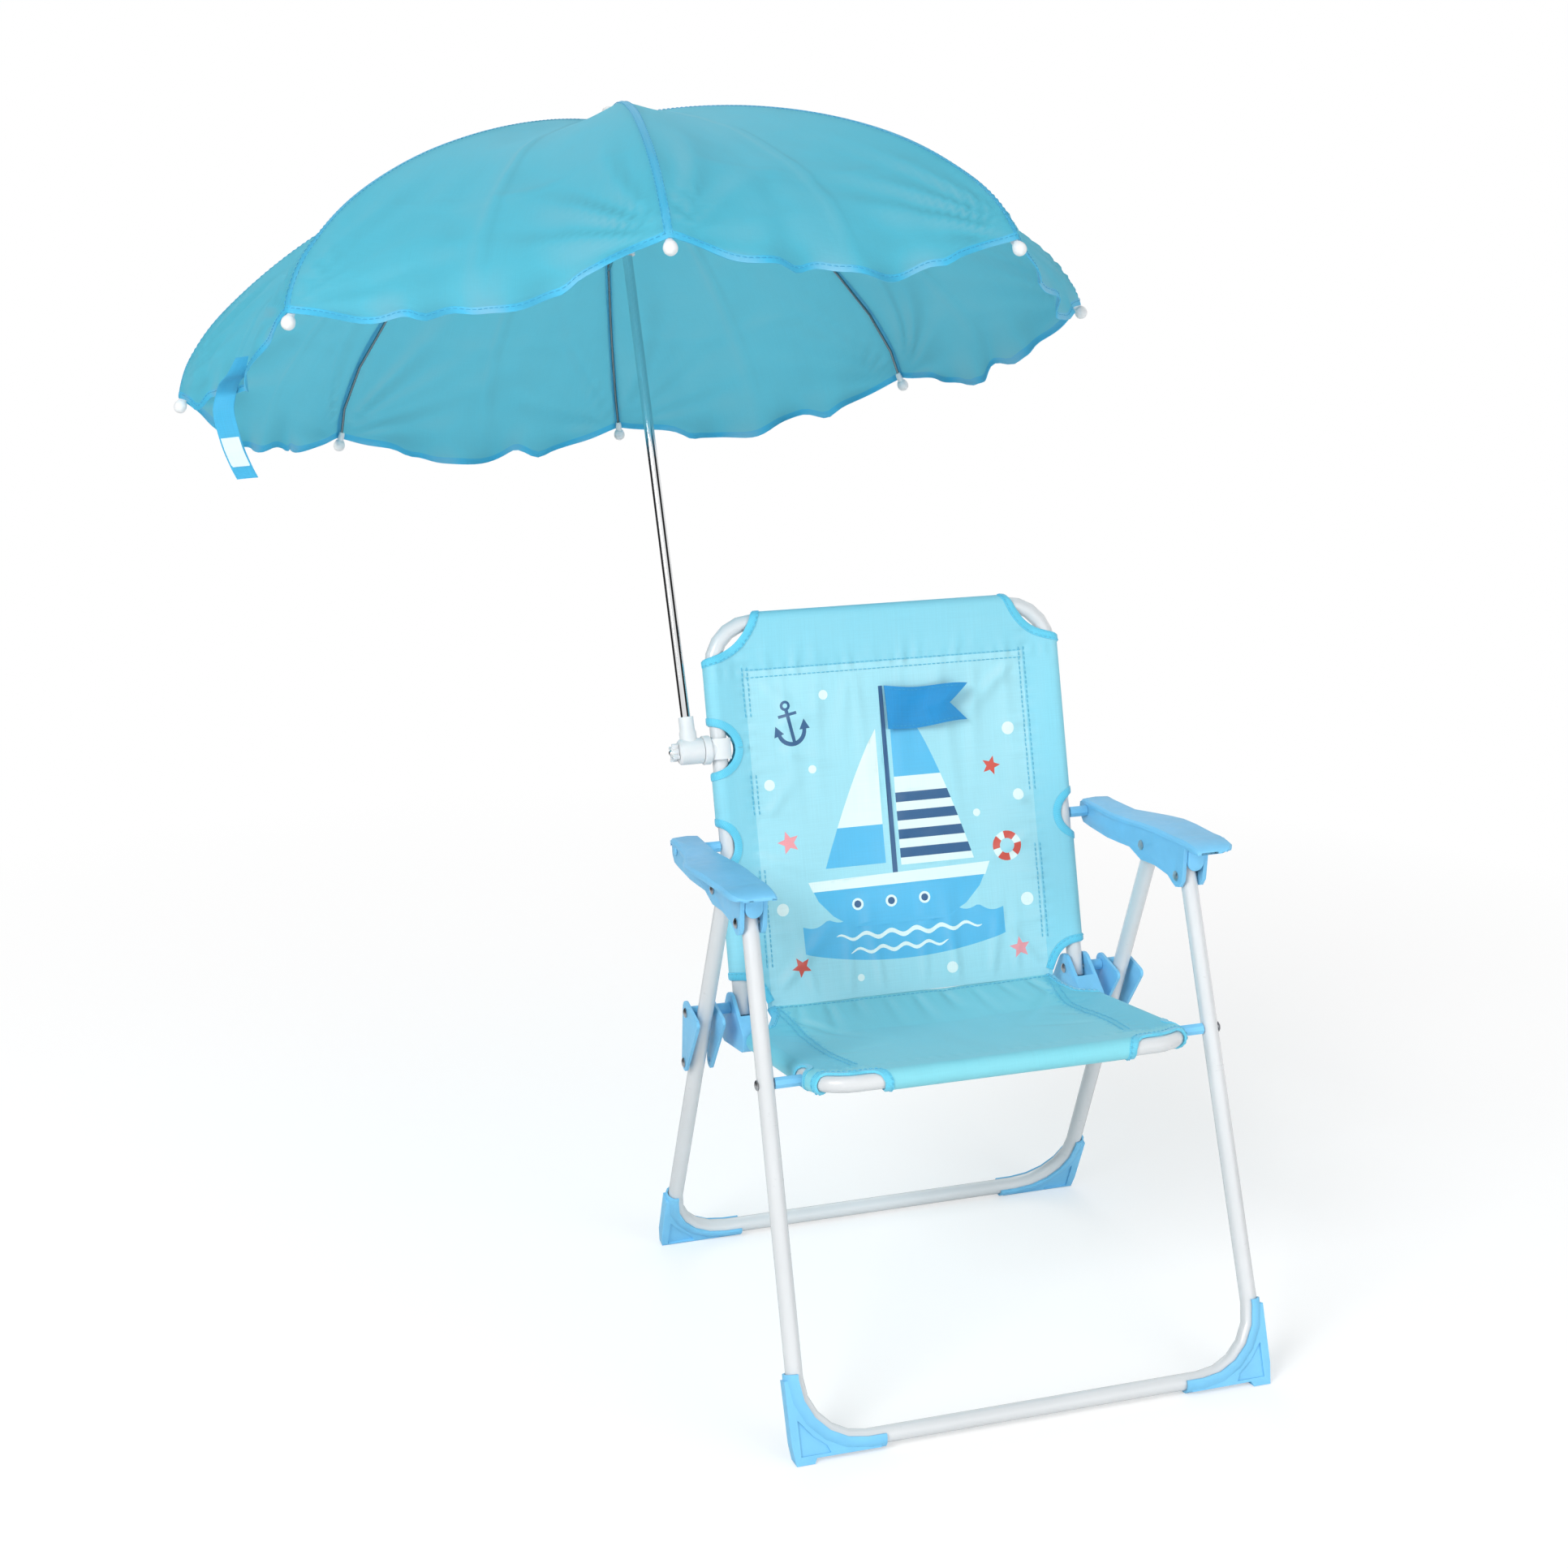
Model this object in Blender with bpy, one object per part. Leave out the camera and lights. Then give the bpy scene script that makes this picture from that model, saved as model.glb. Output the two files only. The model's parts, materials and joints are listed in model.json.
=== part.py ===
"""A child's folding chair with armrests, a fabric sling and a clip-on umbrella.

Metres, +Z up, +X to the sitter's left, and the sitter looks along -Y.
Side views are worked out in the plane (y, z), then set at their own x.
"""
import math

import bmesh
import bpy
from mathutils import Matrix, Vector, geometry

for item in list(bpy.data.objects):
    bpy.data.objects.remove(item, do_unlink=True)

# Gaps between neighbours, and how far a cutter runs past what it cuts
CLEAR = 0.0003
SIDE_PLAY = 0.0007
OVERRUN = 0.004

# Steel tube of the four frames
TUBE_R = 0.0065
TUBE_WALL = 0.0010
TUBE_SIDES = 12

# Pivots in the side view
HINGE_Y = 0.0868
HINGE_Z = 0.2505
RECLINE = math.radians(15.55)
ARM_REAR_RISE = 0.1305
ARM_FRONT_Y = -0.0474
ARM_FRONT_Z = 0.3693
ARM_MID_Y = 0.0155
ARM_MID_Z = 0.3765
FRONT_LEAN = math.radians(20.89)
REAR_LEAN = math.radians(24.75)
SEAT_PIVOT_DROP = 0.1205
LINK_PIVOT_DROP = 0.1893

# Leg frames
LEG_TOP_X = 0.1799
LEG_SPLAY = math.radians(0.9)
LEG_TOP_OVER = 0.0065
BAR_RISE = 0.0090
LEG_BEND_R = 0.050
BEND_STEPS = 5

# Back frame
BACK_X = 0.1470
BACK_LENGTH = 0.3097
BACK_BEND_R = 0.036
BACK_TAIL = 0.0065

# Seat frame
SEAT_DROP = 0.0224
SEAT_TAIL = 0.0130
SEAT_NOSE = 0.0310
SEAT_BEND_R = 0.027

# Rivets and their tubular spacers
RIVET_R = 0.0020
RIVET_HEAD_R = 0.0042
RIVET_HEAD_H = 0.0017
RIVET_SIDES = 8
SPACER_R = 0.0046
SPACER_SIDES = 12

# Plugs in the tops of the front legs
PLUG_DEPTH = 0.010
PLUG_WALL_GAP = 0.0003

# Armrests
ARM_WIDTH = 0.0210
ARM_PLATE = 0.0040
ARM_TAIL = 0.0130
ARM_NOSE = 0.0340
ARM_WING_OUT = 0.0175
ARM_WING_IN = 0.0015
ARM_CREST = 0.0092
ARM_SKIRT = 0.0110
ARM_LOBE_R = 0.0090
ARM_EDGE = 0.0018

# Hinge brackets at the rear of the seat frame
BRACKET_WALL = 0.0030
BRACKET_R = 0.0125
BRACKET_TAIL_R = 0.0100
BRACKET_TAIL_REACH = 0.0050
BRACKET_NOSE_REACH = 0.0300
BRACKET_NOSE_R = 0.0095
FOLD_ANGLE = math.radians(78.0)
FOLD_SPARE = math.radians(4.0)

# Fold links on the rear legs
LINK_PLATE = 0.0024
LINK_TOP_R = 0.0095
LINK_FOOT_R = 0.0070
LINK_LOBE_R = 0.0040
LINK_LOBE_AHEAD = 0.0300
LINK_BOSS_R = 0.0048
LINK_PLAY = 0.0029

# Corner feet
FOOT_SKIN = 0.0020
FOOT_REACH = 0.0140
FOOT_LENGTH = LEG_BEND_R + FOOT_REACH
FOOT_WRAP = 0.0018
FOOT_WEB = 0.0110
FOOT_TOE = 0.0062
FOOT_SOLE = 0.0140
FOOT_ARCH = 0.0020
FOOT_RECESS = 0.0016
FOOT_RIM = 0.0042
FOOT_STEPS = 5

# Sling fabric
CLOTH = 0.0012
SLEEVE_REACH = 0.0250
TOP_SLEEVE_REACH = 0.0400
SLEEVE_GAP = 0.0006
SLEEVE_STEPS = 8
SLEEVE_FLAP_IN = 0.0020
BACK_SHEET_RISE = 0.0020
SEAT_SHEET_RISE = 0.0050
SLING_FOOT_GAP = 0.0220
SEAM_DROP = 0.0040
SEAM_GAP = 0.0030
SEAM_INSET = 0.0215
SEAM_BLEND = 0.0600
BITE_SAG = 0.2200
ARM_NOTCH_R = 0.0180
CLAMP_NOTCH_R = 0.0230
CLAMP_NOTCH_REACH = 0.0310
SEAT_NOTCH_R = 0.0100
LIP_INSET = 0.0130
SLEEVE_PAST_SPACER = 0.0075

# Umbrella clamp on the left back tube
CLAMP_RISE = 0.2090
CLIP_WIDTH = 0.0170
CLIP_R = 0.0104
CLIP_NOSE = 0.0130
RING_R = 0.0118
RING_WIDTH = 0.0055
RING_TEETH = 16
TOOTH_DEPTH = 0.0010
SOCKET_WIDTH = 0.0200
SOCKET_BARREL_R = 0.0105
SOCKET_R = 0.0070
SOCKET_TIP_R = 0.0062
SOCKET_HEIGHT = 0.0280
SOCKET_FLOOR = 0.0080
BOLT_R = 0.0025
BOLT_HEAD_R = 0.0046
BOLT_HEAD_H = 0.0022
NUT_HUB_R = 0.0050
NUT_WIDTH = 0.0060
NUT_WING = 0.0060
NUT_WING_T = 0.0022
NUT_WINGS = 4

# Umbrella
POLE_LEAN = math.radians(17.5)
POLE_SIDE_LEAN = math.radians(1.75)
POLE_R = 0.0040
POLE_WALL = 0.0007
RIM_HEIGHT = 0.2990
RIM_RADIUS = 0.3650
CROWN_HEIGHT = 0.1850
CROWN_TAPER = 1.6
CROWN_FULLNESS = 0.62
GORES = 8
FIRST_RIB = math.radians(79.7)
RIB_R = 0.0013
RIB_SIDES = 5
RIB_DROP = 0.0026
TIP_BALL_R = 0.0046
HUB_R = 0.0100
HUB_LENGTH = 0.0140
RUNNER_R = 0.0090
RUNNER_LENGTH = 0.0240
RUNNER_DROP = 0.0840
STRETCHER_R = 0.0012
STRETCHER_RING = 3
FERRULE_R = 0.0068
FERRULE_HEIGHT = 0.0135
CANOPY_SKIN = 0.0010
GORE_STEPS = 5
RADIAL_STEPS = 7
GORE_DIP = 0.0120
GORE_FLAT = 0.95
HEM_CURVE = 3
HEM_DROOP = 0.0270
HEM_WAVE = 0.0040
HEM_WAVES = 2
CROWN_HOLE_R = 0.0052
STRAP_WIDTH = 0.0200
STRAP_SKIN = 0.0012
STRAP_LENGTH = 0.0620
STRAP_GORE = 2

X_AXIS = Vector((1.0, 0.0, 0.0))
QUARTER = math.pi / 2
FULL_TURN = 2 * math.pi


def colour(name, rgb, roughness, metallic=0.0):
    """A plain Principled material."""
    material = bpy.data.materials.new(name)
    material.use_nodes = True
    shader = material.node_tree.nodes["Principled BSDF"]
    shader.inputs["Base Color"].default_value = (*rgb, 1.0)
    shader.inputs["Roughness"].default_value = roughness
    shader.inputs["Metallic"].default_value = metallic
    return material


WHITE_STEEL = colour("white powder coat", (0.82, 0.84, 0.87), 0.35)
BLUE_PLASTIC = colour("light blue plastic", (0.19, 0.47, 0.88), 0.40)
WHITE_PLASTIC = colour("white plastic", (0.80, 0.83, 0.86), 0.40)
RIVET_STEEL = colour("zinc plated steel", (0.55, 0.56, 0.58), 0.35, 1.0)
CHROME = colour("chrome plate", (0.75, 0.76, 0.78), 0.12, 1.0)
SLING_CLOTH = colour("aqua sling cloth", (0.16, 0.58, 0.76), 0.85)
CANOPY_CLOTH = colour("teal canopy cloth", (0.05, 0.42, 0.60), 0.60)
STRAP_CLOTH = colour("blue strap cloth", (0.03, 0.38, 0.72), 0.70)


def side_point(x, yz):
    """A point of the side view, set at x."""
    return Vector((x, yz[0], yz[1]))


def along(start, heading, distance):
    """The side-view point at a distance from start, along a heading."""
    return Vector((start[0] + heading[0] * distance, start[1] + heading[1] * distance))


BACK_UP = Vector((math.sin(RECLINE), math.cos(RECLINE)))
FRONT_UP = Vector((math.sin(FRONT_LEAN), math.cos(FRONT_LEAN)))
REAR_UP = Vector((-math.sin(REAR_LEAN), math.cos(REAR_LEAN)))
HINGE = Vector((HINGE_Y, HINGE_Z))
ARM_REAR = along(HINGE, BACK_UP, ARM_REAR_RISE)
ARM_FRONT = Vector((ARM_FRONT_Y, ARM_FRONT_Z))
ARM_MID = Vector((ARM_MID_Y, ARM_MID_Z))
SEAT_PIVOT = along(ARM_FRONT, FRONT_UP, -SEAT_PIVOT_DROP)
LINK_PIVOT = along(ARM_MID, REAR_UP, -LINK_PIVOT_DROP)
SEAT_REAR = Vector((HINGE_Y, HINGE_Z - SEAT_DROP))
SEAT_FORE = (SEAT_PIVOT - SEAT_REAR).normalized()
CLAMP = along(HINGE, BACK_UP, CLAMP_RISE)


def turned_about(point, angle):
    """A side-view direction turned by an angle, from +y towards +z."""
    return Vector((point[0] * math.cos(angle) - point[1] * math.sin(angle),
                   point[0] * math.sin(angle) + point[1] * math.cos(angle)))


def body(name, x, yz):
    """An empty on a joint's axis, which carries the pieces that turn about it."""
    empty = bpy.data.objects.new(name, None)
    empty.location = side_point(x, yz)
    bpy.context.collection.objects.link(empty)
    return empty


CLAMP_X = -(BACK_X + CLIP_WIDTH / 2 + RING_WIDTH + SOCKET_WIDTH / 2 + 2 * CLEAR)
BACK = body("axis_back", 0.0, HINGE)
SEAT = body("axis_seat", 0.0, HINGE)
ARMS = {-1: body("axis_arm_left", -LEG_TOP_X, ARM_REAR),
        1: body("axis_arm_right", LEG_TOP_X, ARM_REAR)}
FRONT_LEGS = body("axis_front_legs", 0.0, ARM_FRONT)
REAR_LEGS = body("axis_rear_legs", 0.0, ARM_MID)
LINKS = {-1: body("axis_link_left", -LEG_TOP_X, HINGE),
         1: body("axis_link_right", LEG_TOP_X, HINGE)}
SOCKET = body("axis_umbrella_tilt", CLAMP_X, CLAMP)
NUT = body("axis_clamp_screw", CLAMP_X, CLAMP)
UMBRELLA = body("axis_umbrella", CLAMP_X, CLAMP)
SIDE_NAMES = {-1: "left", 1: "right"}


def make(name, mesh, carrier, material, smooth_angle=math.radians(40)):
    """Turn a bmesh in world places into an object carried by an empty."""
    bmesh.ops.recalc_face_normals(mesh, faces=mesh.faces)
    bmesh.ops.translate(mesh, verts=mesh.verts, vec=-carrier.location)
    data = bpy.data.meshes.new(name)
    mesh.to_mesh(data)
    mesh.free()
    data.materials.append(material)
    data.shade_smooth()
    data.set_sharp_from_angle(angle=smooth_angle)
    piece = bpy.data.objects.new(name, data)
    bpy.context.collection.objects.link(piece)
    piece.parent = carrier
    return piece


def cutter(name, mesh, carrier):
    """A hidden solid that only takes part in Booleans."""
    guide = make(name, mesh, carrier, WHITE_PLASTIC)
    guide.hide_render = True
    guide.display_type = "WIRE"
    return guide


def combine(piece, other, operation="DIFFERENCE"):
    """Cut another solid from a piece, or add it."""
    modifier = piece.modifiers.new(other.name, "BOOLEAN")
    modifier.operation = operation
    modifier.solver = "EXACT"
    modifier.object = other


def skin_rings(rings, closed_ends=True, looped=False):
    """Join rings of equal length into one surface, with flat caps on its ends."""
    mesh = bmesh.new()
    loops = [[mesh.verts.new(point) for point in ring] for ring in rings]
    pairs = list(zip(loops, loops[1:]))
    if looped:
        pairs.append((loops[-1], loops[0]))
    for lower, upper in pairs:
        count = len(lower)
        for i in range(count):
            j = (i + 1) % count
            mesh.faces.new((lower[i], lower[j], upper[j], upper[i]))
    if closed_ends and not looped:
        mesh.faces.new(loops[0])
        mesh.faces.new(loops[-1])
    return mesh


def in_triangles(mesh):
    """The same skin with each of its faces split into triangles."""
    bmesh.ops.triangulate(mesh, faces=mesh.faces[:], quad_method="SHORT_EDGE")
    return mesh


def sweep_frames(points):
    """Two cross directions at each point of a path, carried along without twist."""
    headings = []
    for i, point in enumerate(points):
        before = points[max(i - 1, 0)]
        after = points[min(i + 1, len(points) - 1)]
        if 0 < i < len(points) - 1:
            heading = (point - before).normalized() + (after - point).normalized()
        else:
            heading = after - before
        headings.append(heading.normalized())
    side = headings[0].orthogonal().normalized()
    frames = []
    for heading in headings:
        side = (side - heading * side.dot(heading)).normalized()
        frames.append((side, heading.cross(side)))
    return frames


def sweep(points, radius, bore=0.0, sides=TUBE_SIDES):
    """A round bar or open tube along a path."""
    def ring(point, frame, size):
        return [point + (frame[0] * math.cos(FULL_TURN * k / sides)
                         + frame[1] * math.sin(FULL_TURN * k / sides)) * size
                for k in range(sides)]

    frames = sweep_frames(points)
    outside = [ring(p, f, radius) for p, f in zip(points, frames)]
    if not bore:
        return skin_rings(outside)
    inside = [ring(p, f, bore) for p, f in zip(points, frames)]
    return skin_rings(outside + inside[::-1], looped=True)


def rounded(points, radii, steps):
    """A polyline whose inner corners are replaced by arcs."""
    path = [points[0]]
    for i in range(1, len(points) - 1):
        corner, radius = points[i], radii[i - 1]
        start = (points[i - 1] - corner).normalized()
        end = (points[i + 1] - corner).normalized()
        half = start.angle(end) / 2
        centre = corner + (start + end).normalized() * (radius / math.sin(half))
        reach = radius / math.tan(half)
        first = corner + start * reach - centre
        last = corner + end * reach - centre
        turn = first.angle(last)
        for k in range(steps + 1):
            share = k / steps
            path.append(centre + (first * math.sin((1 - share) * turn)
                                  + last * math.sin(share * turn)) / math.sin(turn))
    path.append(points[-1])
    return path


def turned(profile, centre, axis=X_AXIS, sides=RIVET_SIDES, looped=False):
    """A solid of revolution from (distance along the axis, radius) pairs."""
    side = axis.orthogonal().normalized()
    other = axis.cross(side)
    mesh = bmesh.new()
    rings = []
    for distance, radius in profile:
        middle = centre + axis * distance
        if radius == 0:
            rings.append([mesh.verts.new(middle)])
            continue
        rings.append([mesh.verts.new(middle + (side * math.cos(FULL_TURN * k / sides)
                                               + other * math.sin(FULL_TURN * k / sides)) * radius)
                      for k in range(sides)])
    pairs = list(zip(rings, rings[1:]))
    if looped:
        pairs.append((rings[-1], rings[0]))
    for lower, upper in pairs:
        for i in range(sides):
            j = (i + 1) % sides
            if len(lower) == 1:
                mesh.faces.new((lower[0], upper[j], upper[i]))
            elif len(upper) == 1:
                mesh.faces.new((lower[i], lower[j], upper[0]))
            else:
                mesh.faces.new((lower[i], lower[j], upper[j], upper[i]))
    for end in (rings[0], rings[-1]):
        if len(end) > 1 and not looped:
            mesh.faces.new(end)
    return mesh


def prism(loops, place, low, high):
    """A flat outline, with holes if it has more loops, between two depths."""
    mesh = bmesh.new()
    flat = [[Vector((u, v, 0.0)) for u, v in loop] for loop in loops]
    triangles = geometry.tessellate_polygon(flat)
    points = [point for loop in loops for point in loop]
    layers = [[mesh.verts.new(place(u, v, depth)) for u, v in points] for depth in (low, high)]
    for a, b, c in triangles:
        mesh.faces.new((layers[0][a], layers[0][b], layers[0][c]))
        mesh.faces.new((layers[1][c], layers[1][b], layers[1][a]))
    start = 0
    for loop in loops:
        count = len(loop)
        for i in range(count):
            j = (i + 1) % count
            mesh.faces.new((layers[0][start + i], layers[0][start + j],
                            layers[1][start + j], layers[1][start + i]))
        start += count
    return mesh


def side_prism(loops, low, high):
    """A side-view outline between two x."""
    return prism(loops, lambda y, z, x: Vector((x, y, z)), min(low, high), max(low, high))


def arc(centre, radius, start, end, steps):
    """Points of a side-view arc, angles from +y towards +z."""
    return [(centre[0] + radius * math.cos(start + (end - start) * k / steps),
             centre[1] + radius * math.sin(start + (end - start) * k / steps))
            for k in range(steps + 1)]


def wrapped(circles, steps=16):
    """The taut outline round a few circles, each a centre and a radius."""
    points = [Vector(point) for centre, radius in circles
              for point in arc(centre, radius, 0.0, FULL_TURN, steps)[:-1]]
    return [tuple(points[i]) for i in geometry.convex_hull_2d(points)]


def cross_bar(x_low, x_high, yz, radius, sides=RIVET_SIDES):
    """A round bar along X."""
    return turned([(x_low, radius), (x_high, radius)], side_point(0.0, yz), sides=sides)


def cross_hole(name, yz, radius, carrier, reach=LEG_TOP_X + ARM_WIDTH + RIVET_HEAD_H):
    """A cutter that runs right across the chair."""
    return cutter(name, cross_bar(-reach, reach, yz, radius), carrier)


def pin(side, x_inner, x_outer, yz, collar=None, inner_head=True, outer_head=True):
    """A rivet along X with domed heads, and a spacer collar (from, to) if it has one."""
    profile = []
    if inner_head:
        profile += [(x_inner - RIVET_HEAD_H, 0.0), (x_inner - RIVET_HEAD_H * 0.8, RIVET_HEAD_R * 0.6),
                    (x_inner - RIVET_HEAD_H * 0.2, RIVET_HEAD_R), (x_inner, RIVET_HEAD_R)]
    profile.append((x_inner, RIVET_R))
    if collar:
        profile += [(collar[0], RIVET_R), (collar[0], SPACER_R), (collar[1], SPACER_R), (collar[1], RIVET_R)]
    profile.append((x_outer, RIVET_R))
    if outer_head:
        profile += [(x_outer, RIVET_HEAD_R), (x_outer + RIVET_HEAD_H * 0.2, RIVET_HEAD_R),
                    (x_outer + RIVET_HEAD_H * 0.8, RIVET_HEAD_R * 0.6), (x_outer + RIVET_HEAD_H, 0.0)]
    return turned([(side * x, radius) for x, radius in profile], side_point(0.0, yz))


def leg_x(down):
    """Half the distance between the legs, a way down from their tops."""
    return LEG_TOP_X + down * math.tan(LEG_SPLAY)


def leg_layout(top, heading):
    """The corner points of a U-shaped leg frame, from left top to right top."""
    length = (top[1] - BAR_RISE) / heading[1]
    foot = along(top, heading, -length)
    head = along(top, heading, LEG_TOP_OVER)
    return [side_point(-leg_x(-LEG_TOP_OVER), head), side_point(-leg_x(length), foot),
            side_point(leg_x(length), foot), side_point(leg_x(-LEG_TOP_OVER), head)]


def leg_path(top, heading):
    return rounded(leg_layout(top, heading), (LEG_BEND_R, LEG_BEND_R), BEND_STEPS)


def leg_frame(name, top, heading, carrier, hole_places):
    """A bent tube with a rivet hole through both legs at each place."""
    frame = make(name, sweep(leg_path(top, heading), TUBE_R, TUBE_R - TUBE_WALL), carrier, WHITE_STEEL)
    for label, place in hole_places:
        combine(frame, cross_hole(name + label, place, RIVET_R + CLEAR, carrier))
    return frame


def frames():
    """The four bent steel tubes."""
    leg_frame("front_leg_frame", ARM_FRONT, FRONT_UP, FRONT_LEGS,
              (("_arm_hole", ARM_FRONT), ("_seat_hole", SEAT_PIVOT)))
    leg_frame("rear_leg_frame", ARM_MID, REAR_UP, REAR_LEGS, (("_arm_hole", ARM_MID),))

    tail = along(HINGE, BACK_UP, -BACK_TAIL)
    top = along(HINGE, BACK_UP, BACK_LENGTH)
    corners = [side_point(-BACK_X, tail), side_point(-BACK_X, top),
               side_point(BACK_X, top), side_point(BACK_X, tail)]
    path = rounded(corners, (BACK_BEND_R, BACK_BEND_R), BEND_STEPS)
    back = make("back_frame", sweep(path, TUBE_R, TUBE_R - TUBE_WALL), BACK, WHITE_STEEL)
    combine(back, cross_hole("back_hinge_hole", HINGE, RIVET_R + CLEAR, BACK))
    combine(back, cross_hole("back_arm_hole", ARM_REAR, RIVET_R + CLEAR, BACK))

    rear = along(SEAT_REAR, SEAT_FORE, -SEAT_TAIL)
    nose = along(SEAT_PIVOT, SEAT_FORE, SEAT_NOSE)
    corners = [side_point(-BACK_X, rear), side_point(-BACK_X, nose),
               side_point(BACK_X, nose), side_point(BACK_X, rear)]
    path = rounded(corners, (SEAT_BEND_R, SEAT_BEND_R), BEND_STEPS)
    seat = make("seat_frame", sweep(path, TUBE_R, TUBE_R - TUBE_WALL), SEAT, WHITE_STEEL)
    combine(seat, cross_hole("seat_front_hole", SEAT_PIVOT, RIVET_R + CLEAR, SEAT))


ARM_WALL = (ARM_WIDTH - 2 * TUBE_R - 2 * SIDE_PLAY) / 2
ARM_LINE = (ARM_FRONT - ARM_REAR).normalized()
ARM_UP = Vector((-ARM_LINE[1], ARM_LINE[0])) * -1.0
ARM_LENGTH = (ARM_FRONT - ARM_REAR).length


def arm_sections():
    """Places along the armrest, each with its wing shares, crest height and skirt depth."""
    mid = (ARM_MID - ARM_REAR).dot(ARM_LINE)
    lobe = ARM_SKIRT * 0.36
    clevis = ARM_LOBE_R
    front = ARM_LENGTH
    return (
        (-ARM_TAIL, 0.05, ARM_CREST * 0.15, -ARM_CREST * 0.3),
        (-ARM_TAIL * 0.85, 0.1, ARM_CREST * 0.75, ARM_SKIRT * 0.6),
        (-ARM_TAIL * 0.4, 0.15, ARM_CREST, ARM_SKIRT * 1.05),
        (ARM_TAIL * 0.6, 0.15, ARM_CREST * 1.1, ARM_SKIRT * 1.05),
        (mid * 0.4, 0.3, ARM_CREST * 1.35, ARM_SKIRT * 0.9),
        (mid * 0.62, 0.7, ARM_CREST * 1.75, ARM_SKIRT * 0.62),
        (mid * 0.8, 0.95, ARM_CREST * 2.1, lobe),
        (mid, 1.0, ARM_CREST * 2.55, ARM_SKIRT * 0.7),
        (mid + (front - mid) * 0.4, 0.92, ARM_CREST * 2.95, lobe),
        (front - clevis * 1.6, 0.85, ARM_CREST * 3.2, lobe),
        (front - clevis * 0.7, 0.82, ARM_CREST * 3.3, clevis * 0.8),
        (front, 0.8, ARM_CREST * 3.4, clevis),
        (front + clevis * 0.7, 0.8, ARM_CREST * 3.5, clevis * 0.8),
        (front + clevis * 1.15, 0.8, ARM_CREST * 3.5, clevis * 0.1),
        (front + clevis * 1.3, 0.8, ARM_CREST * 3.55, -ARM_CREST * 2.9),
        (front + ARM_NOSE * 0.75, 0.72, ARM_CREST * 3.55, -ARM_CREST * 2.95),
        (front + ARM_NOSE * 0.93, 0.5, ARM_CREST * 3.45, -ARM_CREST * 3.0),
        (front + ARM_NOSE, 0.2, ARM_CREST * 3.3, -ARM_CREST * 3.05),
    )


def arm_section(side, place, wing, crest, skirt):
    """One inverted U across the armrest: a crowned plate over two side walls."""
    half = ARM_WIDTH / 2
    out = half + ARM_WING_OUT * wing
    inn = half + ARM_WING_IN * wing
    plate = min(ARM_PLATE, crest + skirt - ARM_EDGE)
    under = crest - plate
    foot = -skirt
    outline = [
        (-inn, crest - ARM_EDGE), (-inn + ARM_EDGE, crest), (0.0, crest + ARM_EDGE * 0.4),
        (out - ARM_EDGE, crest), (out, crest - ARM_EDGE), (out, under - ARM_EDGE * 0.2),
        (half, under - ARM_EDGE * 0.4), (half, min(foot, under - ARM_EDGE * 0.5)),
        (half - ARM_WALL, min(foot, under - ARM_EDGE * 0.5)), (half - ARM_WALL, under),
        (ARM_WALL - half, under), (ARM_WALL - half, min(foot, under - ARM_EDGE * 0.5)),
        (-half, min(foot, under - ARM_EDGE * 0.5)), (-half, under - ARM_EDGE * 0.4),
        (-inn, under - ARM_EDGE * 0.2),
    ]
    ring = []
    for across, up in outline:
        yz = ARM_REAR + ARM_LINE * place + ARM_UP * up
        ring.append(side_point(side * (LEG_TOP_X + across), yz))
    return ring


def armrests():
    """Two moulded channels, each over a front and a rear leg."""
    for side, label in SIDE_NAMES.items():
        rings = [arm_section(side, *row) for row in arm_sections()]
        carrier = ARMS[side]
        arm = make("armrest_" + label, in_triangles(skin_rings(rings)), carrier, BLUE_PLASTIC)
        reach = (side * (LEG_TOP_X - ARM_WIDTH), side * (LEG_TOP_X + ARM_WIDTH))
        for spot, place in (("front", ARM_FRONT), ("mid", ARM_MID), ("rear", ARM_REAR)):
            bar = cross_bar(min(reach), max(reach), place, RIVET_R + CLEAR)
            combine(arm, cutter(f"arm_{spot}_hole_{label}", bar, carrier))
        inner = LEG_TOP_X - ARM_WIDTH / 2 - CLEAR
        outer = LEG_TOP_X + ARM_WIDTH / 2 + CLEAR
        for spot, place in (("front", ARM_FRONT), ("mid", ARM_MID)):
            make(f"rivet_arm_{spot}_{label}", pin(side, inner, outer, place), carrier, RIVET_STEEL)
        collar = (BACK_X + TUBE_R + CLEAR, inner)
        make("spacer_arm_" + label,
             pin(side, BACK_X - TUBE_R - CLEAR, outer, ARM_REAR, collar), BACK, BLUE_PLASTIC)


def plugs():
    """Round caps in the open tops of the front legs."""
    for side, label in SIDE_NAMES.items():
        head = along(ARM_FRONT, FRONT_UP, LEG_TOP_OVER)
        axis = (side_point(side * leg_x(-LEG_TOP_OVER), head)
                - side_point(side * leg_x(LEG_BEND_R), along(head, FRONT_UP, -LEG_BEND_R))).normalized()
        stem = TUBE_R - TUBE_WALL - PLUG_WALL_GAP
        depth = LEG_TOP_OVER - RIVET_R - CLEAR * 2
        profile = [(-depth, 0.0), (-depth, stem), (CLEAR, stem), (CLEAR, TUBE_R),
                   (TUBE_WALL + CLEAR, TUBE_R), (TUBE_WALL * 2 + CLEAR, TUBE_R * 0.7), (TUBE_WALL * 2.6, 0.0)]
        centre = side_point(side * leg_x(-LEG_TOP_OVER), head)
        make("leg_plug_" + label, turned(profile, centre, axis), FRONT_LEGS, BLUE_PLASTIC)


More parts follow.
